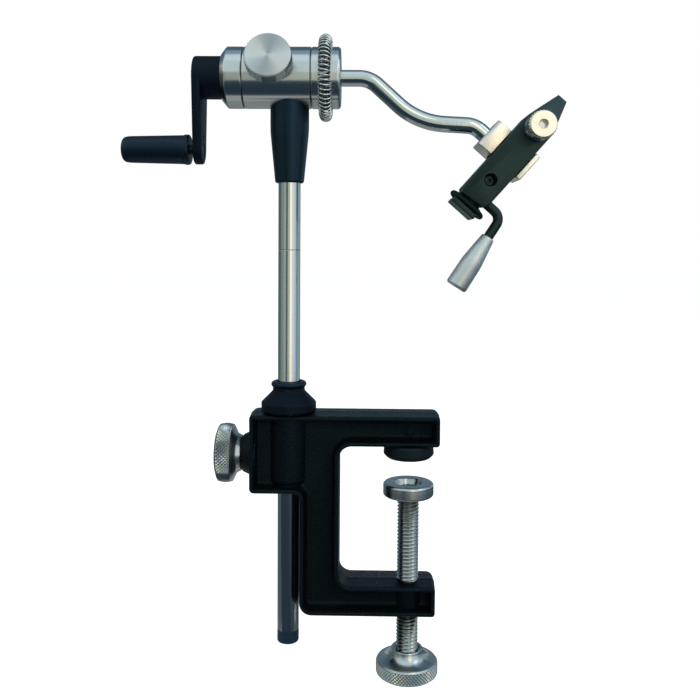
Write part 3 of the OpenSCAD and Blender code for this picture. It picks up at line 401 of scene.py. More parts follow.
def path(start, steps, arc_step):
    """Points in a plane along straight lengths and bends; a step is (run, bend radius, degrees)."""
    x, z, heading = start
    heading = radians(heading)
    out = [(x, z)]
    for run, r, turn in steps:
        x, z = x + run * cos(heading), z + run * sin(heading)
        out.append((x, z))
        if turn:
            side = 1 if turn > 0 else -1
            mx, mz = x - side * r * sin(heading), z + side * r * cos(heading)
            pieces = max(2, int(abs(turn) / arc_step))
            for k in range(1, pieces + 1):
                a = radians(turn) * k / pieces
                dx, dz = x - mx, z - mz
                out.append((mx + dx * cos(a) - dz * sin(a), mz + dx * sin(a) + dz * cos(a)))
            x, z = out[-1]
            heading += radians(turn)
    return out


def rounded(points, inset):
    """An outline of (x, z, corner radius), run anticlockwise, moved in by inset, as the CAD has it."""
    steps, out = 7, []
    n = len(points)
    for i in range(n):
        p = Vector(points[i][:2])
        before, after = Vector(points[i - 1][:2]), Vector(points[(i + 1) % n][:2])
        d1, d2 = (p - before).normalized(), (after - p).normalized()
        n1, n2 = Vector((-d1.y, d1.x)), Vector((-d2.y, d2.x))
        cross = d1.x * d2.y - d1.y * d2.x
        side = 1 if cross > 0 else -1
        q = p + (n1 + n2) * (inset / (1 + n1.dot(n2)))
        r = max(points[i][2] - side * inset, 0.05)
        angle = acos(max(-1.0, min(1.0, d1.dot(d2))))
        nn = n1 * side
        middle = q - d1 * r * tan(angle / 2) + nn * r
        for k in range(steps + 1):
            a = side * angle * k / steps
            v = -nn * r
            out.append((middle.x + v.x * cos(a) - v.y * sin(a), middle.y + v.x * sin(a) + v.y * cos(a)))
    return out


def soften(obj, flat=1e6):
    """Smooth shading between nearly level faces; faces larger than flat square millimetres stay flat."""
    obj.data.shade_smooth()
    for face in obj.data.polygons:
        face.use_smooth = face.area < flat * MM ** 2
    obj.data.set_sharp_from_angle(angle=radians(SHARP))


# Faces of a bevelled piece that are larger than this, in square millimetres, stay flat
FLAT = 4.0


def flat_sided(verts, faces):
    """A bmesh of points given in millimetres."""
    bm = bmesh.new()
    made = [bm.verts.new(Vector(v) * MM) for v in verts]
    for f in faces:
        bm.faces.new([made[i] for i in f])
    return bm


def rounded_mesh(name, bm, least, width, finish):
    """A mesh of the bmesh, with every edge that is sharper than least degrees rounded."""
    bmesh.ops.recalc_face_normals(bm, faces=bm.faces)
    edges = [e for e in bm.edges if len(e.link_faces) == 2 and e.calc_face_angle(0.0) > radians(least)]
    bmesh.ops.bevel(bm, geom=edges, offset=width * MM, offset_type="OFFSET", segments=3, profile=0.5,
                    affect="EDGES", clamp_overlap=True)
    mesh = bpy.data.meshes.new(name)
    bm.to_mesh(mesh)
    bm.free()
    mesh.materials.append(finish)
    return mesh


def bevelled(name, verts, faces, finish, matrix, width, cutters=()):
    """A flat-sided piece with its edges rounded, then bored by the cutters."""
    obj = linked(name, rounded_mesh(name, flat_sided(verts, faces), 20.0, width, finish), matrix)
    bore(obj, cutters)
    soften(obj, FLAT)
    return obj


def bore(obj, cutters):
    """Cuts each (verts, faces) shape, given in the piece's own frame, out of the piece."""
    for i, (verts, faces) in enumerate(cutters):
        cutter = mesh_object(f"cutter_{i}", verts, faces, obj.data.materials[0], obj.matrix_world.copy())
        mod = obj.modifiers.new("bore", "BOOLEAN")
        mod.operation = "DIFFERENCE"
        mod.solver = "EXACT"
        mod.object = cutter
        bpy.context.view_layer.update()
        cut = bpy.data.meshes.new_from_object(obj.evaluated_get(bpy.context.evaluated_depsgraph_get()))
        obj.modifiers.clear()
        old = obj.data
        obj.data = cut
        bpy.data.meshes.remove(old)
        bpy.data.objects.remove(cutter)


def drill(centre, direction, length, r1, r2=None, n=40):
    """A cutter: a round, or conical, length from centre along direction, in the piece's own frame."""
    verts, faces = lathe([(0, 0), (r1, 0), (r1 if r2 is None else r2, length), (0, length)], n)
    z = Vector(direction).normalized()
    m = frame_at((0, 0, 0), z.orthogonal(), z).to_3x3()
    return [tuple(m @ Vector(v) + Vector(centre)) for v in verts], faces


def braced(rows):
    """The rows, with more of them near both ends of a long straight, so that rounded ends don't tilt
    its shading."""
    reach, out = 0.3, [rows[0]]
    for a, b in zip(rows, rows[1:]):
        run = hypot(b[0] - a[0], b[1] - a[1])
        if run > 4 * reach and len(a) == 2 and len(b) == 2:
            for share in (reach / run, 1 - reach / run):
                out.append((a[0] + (b[0] - a[0]) * share, a[1] + (b[1] - a[1]) * share))
        out.append(b)
    return out


def moved(rows, distance):
    """The rows of a section, moved along the axis."""
    return [(r, z + distance, *rest) for r, z, *rest in rows]


def hoop(r):
    """The round section of a rubber ring, which touches both axes."""
    return [(r + r * cos(2 * pi * k / 20), r + r * sin(2 * pi * k / 20)) for k in range(21)]


def turned_piece(name, profile, finish, matrix, n):
    """A round piece; the rows that carry a knurl get the knurled finish."""
    verts, faces = lathe(braced(profile), n)
    obj = mesh_object(name, verts, faces, finish, matrix)
    knurl = [row[1] for row in profile if len(row) > 2]
    if knurl:
        obj.data.materials.append(KNURLED)
        low, high = min(knurl) * MM - 1e-6, max(knurl) * MM + 1e-6
        for face in obj.data.polygons:
            face.material_index = int(len(face.vertices) == 3 and low < face.center.z < high)
    return obj


# Clamp casting: rings of one outline, drawn in by steps from the parting line to the web

CLAMP = [
    (STEP_X, STEP_Z, 2.4), (BACK_X, STEP_Z, 2.4), (BACK_X, BOTTOM_Z, 5.6), (LOWER_NOSE, BOTTOM_Z, 1.8),
    (LOWER_NOSE, LOWER_Z, 1.8), (INNER_X, LOWER_Z, 5.0), (INNER_X, PAD_H, 5.0), (UPPER_NOSE, PAD_H, 1.8),
    (UPPER_NOSE, TOP_Z, 1.8), (STEP_X, TOP_Z, 1.8),
]
# the back's plan corners are drawn in from one depth on, by a curve that reaches its most at full depth
DRAW_START, DRAW_MOST, HALF_DEPTH = 4.0, 3.4, 10.0
# inset from the outline, and depth from the mid plane
WALL = [
    (0.0, 0.0), (0.02, 0.35), (0.1, 0.6), (0.14, 2.0), (0.18, 3.5), (0.23, 5.0), (0.27, 6.0), (0.31, 7.0),
    (0.35, 8.0), (0.39, 8.9), (0.5, 9.4), (0.72, 9.76), (1.05, 9.96), (1.35, HALF_DEPTH), (1.75, 9.98),
    (2.0, 9.86), (2.16, 9.6), (2.26, 9.2), (2.5, 7.4), (2.75, 5.8), (2.98, 4.7), (3.3, 4.05), (3.8, 3.66),
    (4.5, 3.5),
]


def casting_side(side):
    """The casting's front (side -1) or back (side 1) half, and the number of points in each ring."""
    rings = []
    for inset, depth in WALL:
        ring = []
        for x, z in rounded(CLAMP, inset):
            if side > 0 and depth > DRAW_START:
                draw = DRAW_MOST * ((depth - DRAW_START) / (HALF_DEPTH - DRAW_START)) ** 2
                right = (LOWER_NOSE if z < LOWER_Z / 2 else UPPER_NOSE) - draw
                x = min(x, right - 0.4 * inset) if x > 5 else x
                x = max(x, STEP_X + draw + 0.4 * inset) if x < STEP_X + 5 else x
            ring.append((x, side * depth, z))
        rings.append(ring)
    n = len(rings[0])
    web = tuple((len(rings) - 1) * n + i for i in range(n))
    return [v for ring in rings for v in ring], bands(len(rings), n) + [web], n


def clamp_casting():
    soup = Soup()
    front, front_faces, n = casting_side(-1)
    back, back_faces, n = casting_side(1)
    soup.add(front, front_faces)
    # the back half shares the parting line's ring with the front half
    base = len(soup.verts)
    soup.verts += [tuple(v) for v in back[n:]]
    soup.faces += [tuple(i if i < n else base + i - n for i in f) for f in back_faces]
    # post boss: a round column in the pocket with a rounded foot, round the slimmer wall of the bore
    foot, roof = STEP_Z + 3.1, TOP_Z - 1.2
    boss = eased([(0, foot), (8.2, foot, 2.4), (8.2, roof)], 8) + [(0, roof)]
    wall_foot, wall_roof = STEP_Z + 0.6, TOP_Z - 0.8
    wall = [(0, wall_foot), (6.86, wall_foot), (6.86, wall_roof), (0, wall_roof)]
    for section in (boss, wall):
        verts, faces = lathe(section, 64)
        soup.add([(v[0] + POST_X, v[1], v[2]) for v in verts], faces)
    # screw boss in the lower arm and rivet boss in the upper arm
    for r, z0, z1 in ((6.26, BOTTOM_Z + 1.2, LOWER_Z - 1.2), (4.05, PAD_H + 1.2, PAD_H + 7.85)):
        verts, faces = lathe([(0, z0), (r, z0), (r, z1), (0, z1)], 64)
        soup.add(verts, faces)
    # lock boss on the left
    end = STEP_X - LOCK_BOSS_H
    section = eased([(0, STEP_X + 3), (9.9, STEP_X + 3), (9.7, STEP_X + 0.6), (9.2, STEP_X - 0.5, 0.6),
                     (7.9, end, 0.8), (0, end)], 4)
    verts, faces = lathe(section, 72)
    soup.add([(v[2], v[1], LOCK_Z - v[0]) for v in verts], faces)
    obj = mesh_object("clamp_casting", soup.verts, soup.faces, CASTING, None, 40.0)
    return place(obj, "clamp", "black_casting", "clamp_frame")


clamp_casting()

# Pads

pad = eased([(0, 0.0), (9.3, 0.0, 0.5), (10.98, 1.7, 0.5), (10.7, 5.2, 0.5), (10.2, PAD_H), (0, PAD_H)])
place(turned_piece("rubber_pad", pad, RUBBER, UPRIGHT, 96), "clamp", "black_rubber", "fixed_pad")

SWIVEL_TOP = -SWIVEL_DROP
SWIVEL_FOOT, DIP_Z = SWIVEL_TOP - SWIVEL_T, SWIVEL_TOP - SWIVEL_DIP
swivel = eased([
    (3.05, SWIVEL_FOOT), (10.3, SWIVEL_FOOT, 0.5), (11.0, SWIVEL_FOOT + 0.7, 0.4),
    (11.0, SWIVEL_TOP - 0.7, 0.4), (10.3, SWIVEL_TOP, 0.4), (6.1, SWIVEL_TOP, 0.3), (4.7, DIP_Z, 0.2),
    (3.05, DIP_Z),
])
verts, faces = lathe(braced(swivel + [swivel[0]]), 96)
place(mesh_object("swivel_disc", verts, faces, MACHINED, UPRIGHT), "swivel_pad_disc", "turned_steel",
      "swivel_pad")

# the ring that is staked on the screw's end in the pad's recess, with nine shallow waves from the punch
STAKE_GAP, STAKE_SIDES = 0.45, 72
STAKE_Z = DIP_Z + STAKE_GAP
rows = [(2.15, 0.0), (4.05, 0.0), (4.1, 0.3), (3.7, 0.7), (3.0, 0.95), (2.15, 0.7), (2.15, 0.0)]
verts = []
for r, z in rows:
    for i in range(STAKE_SIDES):
        a = 2 * pi * i / STAKE_SIDES
        wave = 0.16 * sin(9 * a) * (1 if r > 2.5 and z > 0.2 else 0)
        verts.append(((r + wave * 0.4) * cos(a), (r + wave * 0.4) * sin(a), STAKE_Z + z + wave * 0.7))
place(mesh_object("staked_ring", verts, bands(len(rows), STAKE_SIDES), BRIGHT, UPRIGHT), "pad_carrier",
      "bright_steel", "pad_retaining_ring")

# Clamp screw: a real helix, from the knob to the swivel pad

SCREW_TOP = SWIVEL_FOOT - STAKE_GAP
KNOB_TOP = BOTTOM_Z - SCREW_TAIL
KNOB_RIM = KNOB_TOP - KNOB_HUB_H
KNOB_BOTTOM = KNOB_RIM - KNOB_RIM_H


def helix(z0, z1, r, pitch, depth):
    """Verts and faces of a thread between z0 and z1, which runs out flat at both ends."""
    sides = 40
    # radius at shares of one pitch: rounded crest, straight flank and rounded root
    shares = [(0.0, 1.0), (0.12, 0.86), (0.36, 0.14), (0.5, 0.0), (0.64, 0.14), (0.88, 0.86)]
    turns = (z1 - z0) / pitch
    count = int(turns * len(shares)) + 1
    verts, faces = [], []
    for j in range(-len(shares), count + len(shares)):
        share, height = shares[j % len(shares)]
        base = (j // len(shares) + share) * pitch
        for i in range(sides):
            z = z0 + base + pitch * i / sides
            z = min(max(z, z0), z1)
            edge = min((z - z0), (z1 - z)) / pitch
            lift = height * min(1.0, max(0.0, edge * 1.5))
            q = r - depth + depth * lift
            a = 2 * pi * i / sides
            verts.append((q * cos(a), q * sin(a), z))
    rows = count + 2 * len(shares)
    step = len(shares)
    for j in range(rows - 1):
        for i in range(sides - 1):
            faces.append((j * sides + i, j * sides + i + 1, (j + 1) * sides + i + 1, (j + 1) * sides + i))
        # the last column joins the first one a whole turn further up
        if j + 1 + step < rows:
            faces.append((j * sides + sides - 1, (j + step) * sides, (j + 1 + step) * sides,
                          (j + 1) * sides + sides - 1))
    return verts, faces


def clean(verts, faces, finish, name, matrix):
    """Merges doubled points and drops flat faces of a swept shape, and closes its ends."""
    mesh, bm = millimetre_mesh(name, verts, faces)
    near = 0.01 * MM
    bmesh.ops.remove_doubles(bm, verts=bm.verts, dist=near)
    bmesh.ops.dissolve_degenerate(bm, dist=near, edges=bm.edges)
    holes = [e for e in bm.edges if e.is_boundary]
    if holes:
        bmesh.ops.holes_fill(bm, edges=holes, sides=0)
    loose = [v for v in bm.verts if not v.link_faces]
    bmesh.ops.delete(bm, geom=loose, context="VERTS")
    finished(mesh, bm, finish, 50)
    return linked(name, mesh, matrix)


verts, faces = helix(KNOB_BOTTOM + 2.2, SCREW_TOP, CLAMP_R, PITCH, THREAD_DEPTH)
screw = clean(verts, faces, THREAD, "screw_thread", UPRIGHT)
place(screw, "clamp_screw_rod", "turned_steel", "clamp_screw")
pivot = eased([(0, SCREW_TOP - 1), (2.6, SCREW_TOP - 1), (2.6, SCREW_TOP + 4.4, 0.4),
               (1.2, SCREW_TOP + 4.4, 0.2), (0, SCREW_TOP + 3.9)])
place(turned_piece("screw_pivot", pivot, BRIGHT, UPRIGHT, 48), "clamp_screw_rod", "bright_steel")

# Clamp screw's knob: hollow-sided hub over a knurled rim
knob_edge = 0.8
flare = KNOB_R - knob_edge - KNOB_HUB_R
knob = [(0, KNOB_BOTTOM + 0.5), (7.5, KNOB_BOTTOM + 0.5), (8.4, KNOB_BOTTOM), (12.4, KNOB_BOTTOM)]
knob += knurled(KNOB_R, KNOB_BOTTOM + 0.55, KNOB_RIM - 0.55, 0.5, 224)
knob += [(KNOB_R - knob_edge, KNOB_RIM)]
knob += [(KNOB_HUB_R + flare * (1 - sin(radians(a))), KNOB_RIM + KNOB_HUB_H * (1 - cos(radians(a))))
         for a in range(6, 90, 6)]
knob += [(KNOB_HUB_R, KNOB_TOP - 0.25), (6.7, KNOB_TOP), (6.0, KNOB_TOP), (5.85, KNOB_TOP - 0.2),
         (5.85, KNOB_TOP - 1.2), (4.95, KNOB_TOP - 1.2), (4.95, KNOB_BOTTOM + 2.5), (0, KNOB_BOTTOM + 2.5)]
place(turned_piece("screw_knob", knob, MACHINED, UPRIGHT, 224), "clamp_screw_rod", "turned_steel",
      "clamp_screw_knob")

# Lock screw: tapered neck and a convex, diamond-knurled head

LOCK_NECK, LOCK_HEAD = 3.0, 8.0
LOCK_X = STEP_X - LOCK_BOSS_H - GAP - LOCK_NECK - LOCK_HEAD
neck_end = LOCK_HEAD + LOCK_NECK
lock = [(0, 0.3), (5.5, 0.3), (6.3, 0), (9.6, 0), (11.6, 0.7)]
lock += knurled(12.85, 1.2, 7.0, 0.5, 212, crown=0.45)
lock += eased([(11.7, 7.4), (10.5, LOCK_HEAD, 0.3), (8.6, LOCK_HEAD + 0.9, 0.6), (7.6, neck_end, 0.3),
               (3.4, neck_end)])
lock += [(3.4, 4.5), (0, 4.5)]
place(turned_piece("lock_knob", moved(lock, LOCK_X), MACHINED, LOCK, 212), "lock_thumbscrew",
      "turned_steel", "lock_screw_head")

# Post, its joint, its end cap, and the stop collar

POST_END = TOP_Z - POST_DROP
CAP_TOP = POST_END + END_CAP_H
# the two lengths meet in a fine line
JOINT_Z, JOINT_GAP = TOP_Z + JOINT_RISE, 0.02
lower_top, upper_foot, upper_top = JOINT_Z - JOINT_GAP, JOINT_Z + JOINT_GAP, HEAD_Z - 9.6
lower = eased([(0, CAP_TOP), (POST_R, CAP_TOP), (POST_R, lower_top, 0.22), (0, lower_top)])
place(turned_piece("post_lower", lower, POLISHED, POST, 72), "post", "polished_steel", "lower_post")
upper = eased([(0, upper_foot), (POST_R, upper_foot, 0.22), (POST_R, upper_top), (0, upper_top)])
place(turned_piece("post_upper", upper, POLISHED, POST, 72), "post", "polished_steel", "upper_post")
cap = eased([(0, POST_END), (POST_R, POST_END, 0.9), (POST_R, CAP_TOP, 0.1), (0, CAP_TOP)])
place(turned_piece("post_cap", cap, CAP_PLASTIC, POST, 72), "post", "black_plastic", "post_end_cap")

COLLAR_Z, COLLAR_H = TOP_Z + GAP, 10.4
collar = eased([(POST_BORE, 0), (11.5, 0, 0.3), (11.9, 0.5, 0.2), (11.9, 3.9, 0.35), (6.95, 8.85, 0.4),
                (6.95, COLLAR_H, 0.35), (5.4, COLLAR_H, 0.2), (POST_BORE, COLLAR_H - 0.3), (POST_BORE, 0)])
place(turned_piece("post_collar", moved(collar, COLLAR_Z), ANODISED, POST, 96), "collar",
      "black_anodised", "stop_collar")
ring = [(r + POST_R + GAP, z + COLLAR_Z + COLLAR_H) for r, z in hoop(1.3)]
place(turned_piece("collar_washer", ring, BLACK_PLASTIC, POST, 72), "collar", "black_rubber", "collar_ring")
SET = frame_at((POST_X, 0, COLLAR_Z + 8.5), (1, 0, 0), (0, -1, 0))
stud = [(0, 5.1), (1.45, 5.1), (1.45, 6.75), (1.3, 6.95), (0.85, 6.95), (0.8, 6.2), (0, 6.1)]
place(turned_piece("collar_screw", stud, BLACK_STEEL, SET, 24), "collar", "black_steel", "collar_set_screw")

# Head: barrel, neck sleeve, rear cap and front collar

barrel = eased([(0, BARREL_X0), (HEAD_EDGE_R, BARREL_X0, 0.1), (HEAD_R, BARREL_X0 + 0.25, 0.1),
                (HEAD_R, BARREL_X1 - 0.25, 0.1), (HEAD_EDGE_R, BARREL_X1, 0.1), (0, BARREL_X1)])
barrel_piece = turned_piece("barrel", barrel, TURNED, HEAD, 144)
# the tension screw's hole
bore(barrel_piece, [drill((0, 0, POST_X - TENSION_BACK), (-sin(TILT), -cos(TILT), 0), 20, 3.2)])
soften(barrel_piece)
place(barrel_piece, "post", "turned_steel", "head_barrel")
FOOT = HEAD_Z - 44.8
sleeve = eased([(POST_BORE, FOOT), (5.6, FOOT, 0.2), (6.2, FOOT + 0.5, 0.3), (8.3, HEAD_Z - 22.7, 3.0),
                (8.3, HEAD_Z - 6), (0, HEAD_Z - 6)], 6)
verts, faces = lathe(braced(sleeve + [(0, HEAD_Z - 7), (POST_BORE, HEAD_Z - 7), (POST_BORE, FOOT)]), 96)
place(mesh_object("sleeve", verts, faces, BLACK_PLASTIC, POST), "post", "black_plastic", "neck_sleeve")
rear = eased([(SPINDLE_BORE, 0), (10.0, 0, 0.4), (HEAD_R, 2.5, 0.5), (HEAD_R, CAP_W - 0.25, 0.1),
              (HEAD_EDGE_R, CAP_W), (SPINDLE_BORE, CAP_W), (SPINDLE_BORE, 0)])
place(turned_piece("cap_ring", moved(rear, CAP_X0), TURNED, HEAD, 144), "rotor", "turned_steel",
      "rear_cap")
# the groove that seats the material spring
GROOVE_R, GROOVE_X0, GROOVE_X1, GROOVE_EDGE = 12.65, 4.0, 7.65, 0.35
front = eased([(SPINDLE_BORE, 0), (HEAD_EDGE_R, 0), (HEAD_R, 0.25, 0.1), (HEAD_R, GROOVE_X0, 0.1),
               (GROOVE_R, GROOVE_X0 + GROOVE_EDGE), (GROOVE_R, GROOVE_X1 - GROOVE_EDGE),
               (HEAD_R, GROOVE_X1, 0.1), (HEAD_R, COLLAR_W - 0.8, 0.3), (12.2, COLLAR_W, 0.3),
               (SPINDLE_BORE, COLLAR_W), (SPINDLE_BORE, 0)])
place(turned_piece("collar_end", moved(front, COLLAR_X0), TURNED, HEAD, 144), "rotor", "turned_steel",
      "front_collar")

# Tension screw's head: spun face and a fine knurl round the rim
head = [(3.05, 13.3), (5.6, 13.3), (5.6, 15.5), (9.3, 15.5), (9.4, 15.75)]
head += knurled(9.85, 15.75, 21.6, 0.45, 176)
head += eased([(9.35, 21.7), (9.1, 21.87, 0.1), (8.4, 21.85, 0.2), (3.0, 21.6), (0, 21.55)])
head += [(0, 18.8), (3.05, 18.8), (3.05, 13.3)]
place(turned_piece("tension_knob", head, SPUN_FACE, TENSION, 176), "tension_thumbscrew", "turned_steel",
      "tension_screw_head")

# Material spring: fine coils round the front collar

SPRING_X, SPRING_R = COLLAR_X0 + 5.8, 15.65
COILS, PER_COIL, COIL_R, WIRE_R = 56, 24, 2.42, 0.38

points = []
for i in range(COILS * PER_COIL):
    turn = 2 * pi * i / PER_COIL
    out, a = SPRING_R + COIL_R * cos(turn), turn / COILS
    points.append((SPRING_X + COIL_R * sin(turn), out * cos(a), HEAD_Z + out * sin(a)))
verts, faces = tube(points, WIRE_R, 8, closed=True)
coil = mesh_object("spring_coil", verts, faces, SPRING, None, 80)
coil.data.materials.append(PAINTED_COIL_SHADE)
# the wire's inner side, towards the middle of the coils, gets a dark steel: painted shade between the coils
for face in coil.data.polygons:
    at = face.center / MM
    a = atan2(at.z - HEAD_Z, at.y)
    outward = at - Vector((SPRING_X, SPRING_R * cos(a), HEAD_Z + SPRING_R * sin(a)))
    face.material_index = int(face.normal.dot(outward) < 0)
place(coil, "rotor", "spring_steel", "material_spring")

# Crank: arm, hub and grip


def crank_outline(inset):
    """The plate in y and z: an arc round the hub and one round the far end, joined by their tangents."""
    lean = asin((HUB_R - CRANK_END_R) / CRANK_THROW)
    out = []
    for r, z, start, end, count in ((HUB_R - inset, HEAD_Z, -lean, pi + lean, 32),
                                    (CRANK_END_R - inset, CRANK_Z, pi + lean, 2 * pi - lean, 24)):
        for k in range(count + 1):
            a = start + (end - start) * k / count
            out.append((r * cos(a), z + r * sin(a)))
    return out


# the plate's rounded edge: inset from the outline, and distance along x
CRANK_EDGE = [(0.75, 0.0), (0.35, 0.12), (0.1, 0.38), (0.0, 0.8), (0.0, 3.0), (0.1, 3.42), (0.35, 3.68),
              (0.75, CRANK_T)]
rings = [[(CRANK_X0 + x, y, z) for y, z in crank_outline(inset)] for inset, x in CRANK_EDGE]
faces = solid_faces(len(rings), len(rings[0]))
crank = mesh_object("crank_plate", [v for ring in rings for v in ring], faces, ANODISED)
# the pin hole in the arm's lower end, and the seat of the grip screw's head
PIN_RISE, PIN_R, SEAT_DEPTH = 5.6, 0.8, 1.6
bore(crank, [drill((CRANK_X0 - 1, 0, CRANK_Z + PIN_RISE), (1, 0, 0), 8, PIN_R, n=20),
             drill((CRANK_X1 - SEAT_DEPTH, 0, CRANK_Z), (1, 0, 0), 4, GRIP_SCREW_BORE)])
soften(crank, 2 * FLAT)
place(crank, "rotor", "black_anodised", "crank_arm")
HUB_END = CAP_X0 - 0.1
hub = eased([(0, CRANK_X1 - 2), (HUB_R, CRANK_X1 - 2), (HUB_R, HUB_END, 0.5), (0, HUB_END)])
hub_piece = turned_piece("crank_hub", hub, ANODISED, HEAD, 96)
bore(hub_piece, [drill((-4.5, 0, CAP_X0 - HUB_W / 2), (-1, 0, 0), 8, GRUB_BORE, n=24)])
soften(hub_piece)
place(hub_piece, "rotor", "black_anodised")
# the grip, measured from its end at the crank
screw_hole = -20.8
grip = eased([(0, -GRIP_LEN), (3.1, 0.02 - GRIP_LEN), (4.6, 0.4 - GRIP_LEN, 0.8), (5.4, 1.4 - GRIP_LEN, 0.8),
              (5.7, 3.0 - GRIP_LEN, 1.2), (6.2, -2.6, 0.5), (6.5, -1.9, 0.3), (6.5, -0.5, 0.3),
              (6.1, 0, 0.2), (2.05, 0)], 5)
grip += [(2.05, screw_hole), (0, screw_hole)]
place(turned_piece("handle", moved(grip, GRIP_X1), BLACK_PLASTIC, GRIP, 72), "grip", "black_plastic",
      "crank_grip")

# Bent arm

# the rod starts inside the collar, bends down, eases back and ends in the block, square to the jaws
ROD_R, ROD_HIDDEN, ROD_IN_BLOCK = 3.5, 14, 5.9
BEND_DOWN, BEND_BACK = 42, 39
LAST_BEND = 90 - SLOPE_DEGREES - BEND_DOWN + BEND_BACK
ROD = path((COLLAR_X1 - ROD_HIDDEN, HEAD_Z, 0),
           [(ROD_HIDDEN + 7.8, 11.5, -BEND_DOWN), (12.2, 32, BEND_BACK), (9.5, 10, -LAST_BEND),
            (2.4 + ROD_IN_BLOCK, 0, 0)], 3.0)
verts, faces = tube([(x, 0, z) for x, z in ROD], ROD_R, 32)
place(mesh_object("bent_rod", verts, faces, POLISHED), "rotor", "polished_steel", "jaw_arm")

# Jaw block: a satin steel fork, bevelled all round

FRONT, BACK, LOW, HIGH, HALF_LENGTH = -7.0, 11.0, -9.3, 14.2, 6.55
SLOT, SLOT_FLOOR, CHAMFER = 6.9, 7.5, 1.4
fork = [(FRONT, HIGH - CHAMFER), (FRONT + CHAMFER, HIGH), (BACK, HIGH), (BACK, LOW), (FRONT, LOW),
        (FRONT, -SLOT), (SLOT_FLOOR, -SLOT), (SLOT_FLOOR, SLOT), (FRONT, SLOT)]
verts = [(u, y, w) for u in (-HALF_LENGTH, HALF_LENGTH) for y, w in fork]
block = bevelled("fork_block", verts, solid_faces(2, len(fork)), NICKEL, JAWS, 0.4, [
    drill((-1, 12, HIGH - 3.65), (0, -1, 0), 9, GRUB_BORE, n=24),
    drill((0, 12, 0), (0, -1, 0), 3, FIXING_BORE, n=36),
])
place(block, "rotor", "satin_nickel", "jaw_block")

# Jaws

NECK_END, NECK_FOOT = -26.0, -30.5
FLANGE_T, NECK_STEPS = 2.2, 28
# the jaws' outline in u and w, without the neck
JAW = [(-25.6, -4.6), (-23.6, -JAW_HALF_W), (15.5, -JAW_HALF_W), (22, -5.0), (JAW_NOSE, -2.3),
       (JAW_NOSE, 2.3), (22, 5.0), (15.5, JAW_HALF_W), (-24.6, JAW_HALF_W), (-26.6, 4.6)]


def jaw_piece(name, inner, thick, side, neck_r, cutters, node, body):
    """A jaw on one side of the jaws' mid plane: the plate, its half-round neck and the tail's flange."""
    outer = inner + side * thick
    bm = flat_sided([(u, y, w) for y in (inner, outer) for u, w in JAW], solid_faces(2, len(JAW)))
    # the nose is planed down to the tip
    normal = Vector((thick - TIP_T, side * (JAW_NOSE - TAPER_U), 0)).normalized()
    cut = bmesh.ops.bisect_plane(bm, geom=bm.verts[:] + bm.edges[:] + bm.faces[:], dist=1e-7,
                                 plane_co=Vector((TAPER_U, outer, 0)) * MM, plane_no=normal, clear_outer=True)
    rim = [e for e in cut["geom_cut"] if isinstance(e, bmesh.types.BMEdge)]
    bmesh.ops.holes_fill(bm, edges=rim, sides=0)
    obj = linked(name, rounded_mesh(name, bm, 12, 0.3, BLACK_STEEL), JAWS)
    bore(obj, cutters)
    # its mesh is laid in the CAD's own frame, so that its box is no larger than the jaw
    obj.data.transform(JAWS)
    obj.matrix_world = Matrix()
    soften(obj, FLAT)
    place(obj, body, "black_steel", node)
    arc = [(inner + side * neck_r * sin(pi * k / NECK_STEPS), neck_r * cos(pi * k / NECK_STEPS))
           for k in range(NECK_STEPS + 1)]
    verts = [(u, y, w) for u in (NECK_FOOT, NECK_END) for y, w in arc]
    faces = solid_faces(2, len(arc))
    place(mesh_object(name + "_neck", verts, faces, BLACK_STEEL, JAWS), body, "black_steel")
    tail, face = -JAW_TAIL, FLANGE_T - JAW_TAIL
    flange = [(tail, -5.6), (face, -5.6), (face, JAW_HALF_W), (tail, JAW_HALF_W)]
    verts = [(u, y, w) for y in (inner, outer) for u, w in flange]
    faces = solid_faces(2, len(flange))
    place(bevelled(name + "_flange", verts, faces, BLACK_STEEL, JAWS, 0.35), body, "black_steel")


CAM_BORE = drill((CAM_U, 0, -8), (0, 0, 1), 16, 2.95)
TO_FRONT, TO_BACK = (0, -1, 0), (0, 1, 0)
jaw_piece("jaw_front", -0.4, FRONT_JAW_T, -1, 5.1, [
    CAM_BORE, drill((ADJUST_U, 1, 0), TO_FRONT, 12, 2.3, n=32),
    drill((FULCRUM_U, 1, 0), TO_FRONT, 12, 2.2, n=32),
    drill((FULCRUM_U, -9.45, 0), TO_BACK, 1.6, 2.85, 2.2),
], "front_jaw", "moving_jaw")
jaw_piece("jaw_rear", 0.2, REAR_JAW_T, 1, REAR_NECK_R, [
    CAM_BORE, drill((ADJUST_U, 9, 0), TO_FRONT, 10, 2.1, n=32),
], "rear_jaw", "rotor")

band = [(r + REAR_NECK_R + GAP, z - 29.45) for r, z in hoop(1.25)]
JAW_AXIS = frame_at(in_jaws(0, 0, 0), (0, 1, 0), U_AXIS)
place(turned_piece("tail_ring", band, RUBBER, JAW_AXIS, 72), "rotor", "black_rubber", "jaw_ring")

# Adjusting nut: a long knurled barrel
NUT_BACK, NUT_LEN, SOCKET_Z = 9.7, 11.8, 8.85
NUT = frame_at(in_jaws(ADJUST_U, 0, 0), U_AXIS, (0, -1, 0))
nut = [(2.05, 0), (5.3, 0), (5.55, 0.3)] + knurled(5.9, 0.5, 10.6, 0.34, 108)
nut += eased([(5.6, 10.9), (5.5, 11.55), (5.2, NUT_LEN, 0.2), (2.0, NUT_LEN, 0.1), (1.7, 11.5),
              (1.7, SOCKET_Z), (2.05, SOCKET_Z), (2.05, 0)])
place(turned_piece("thumb_barrel", moved(nut, NUT_BACK), NICKEL, NUT, 108), "thumb_nut", "satin_nickel",
      "adjusting_nut")

# Cam lever and its knob

ROD_IN_KNOB = 11.8


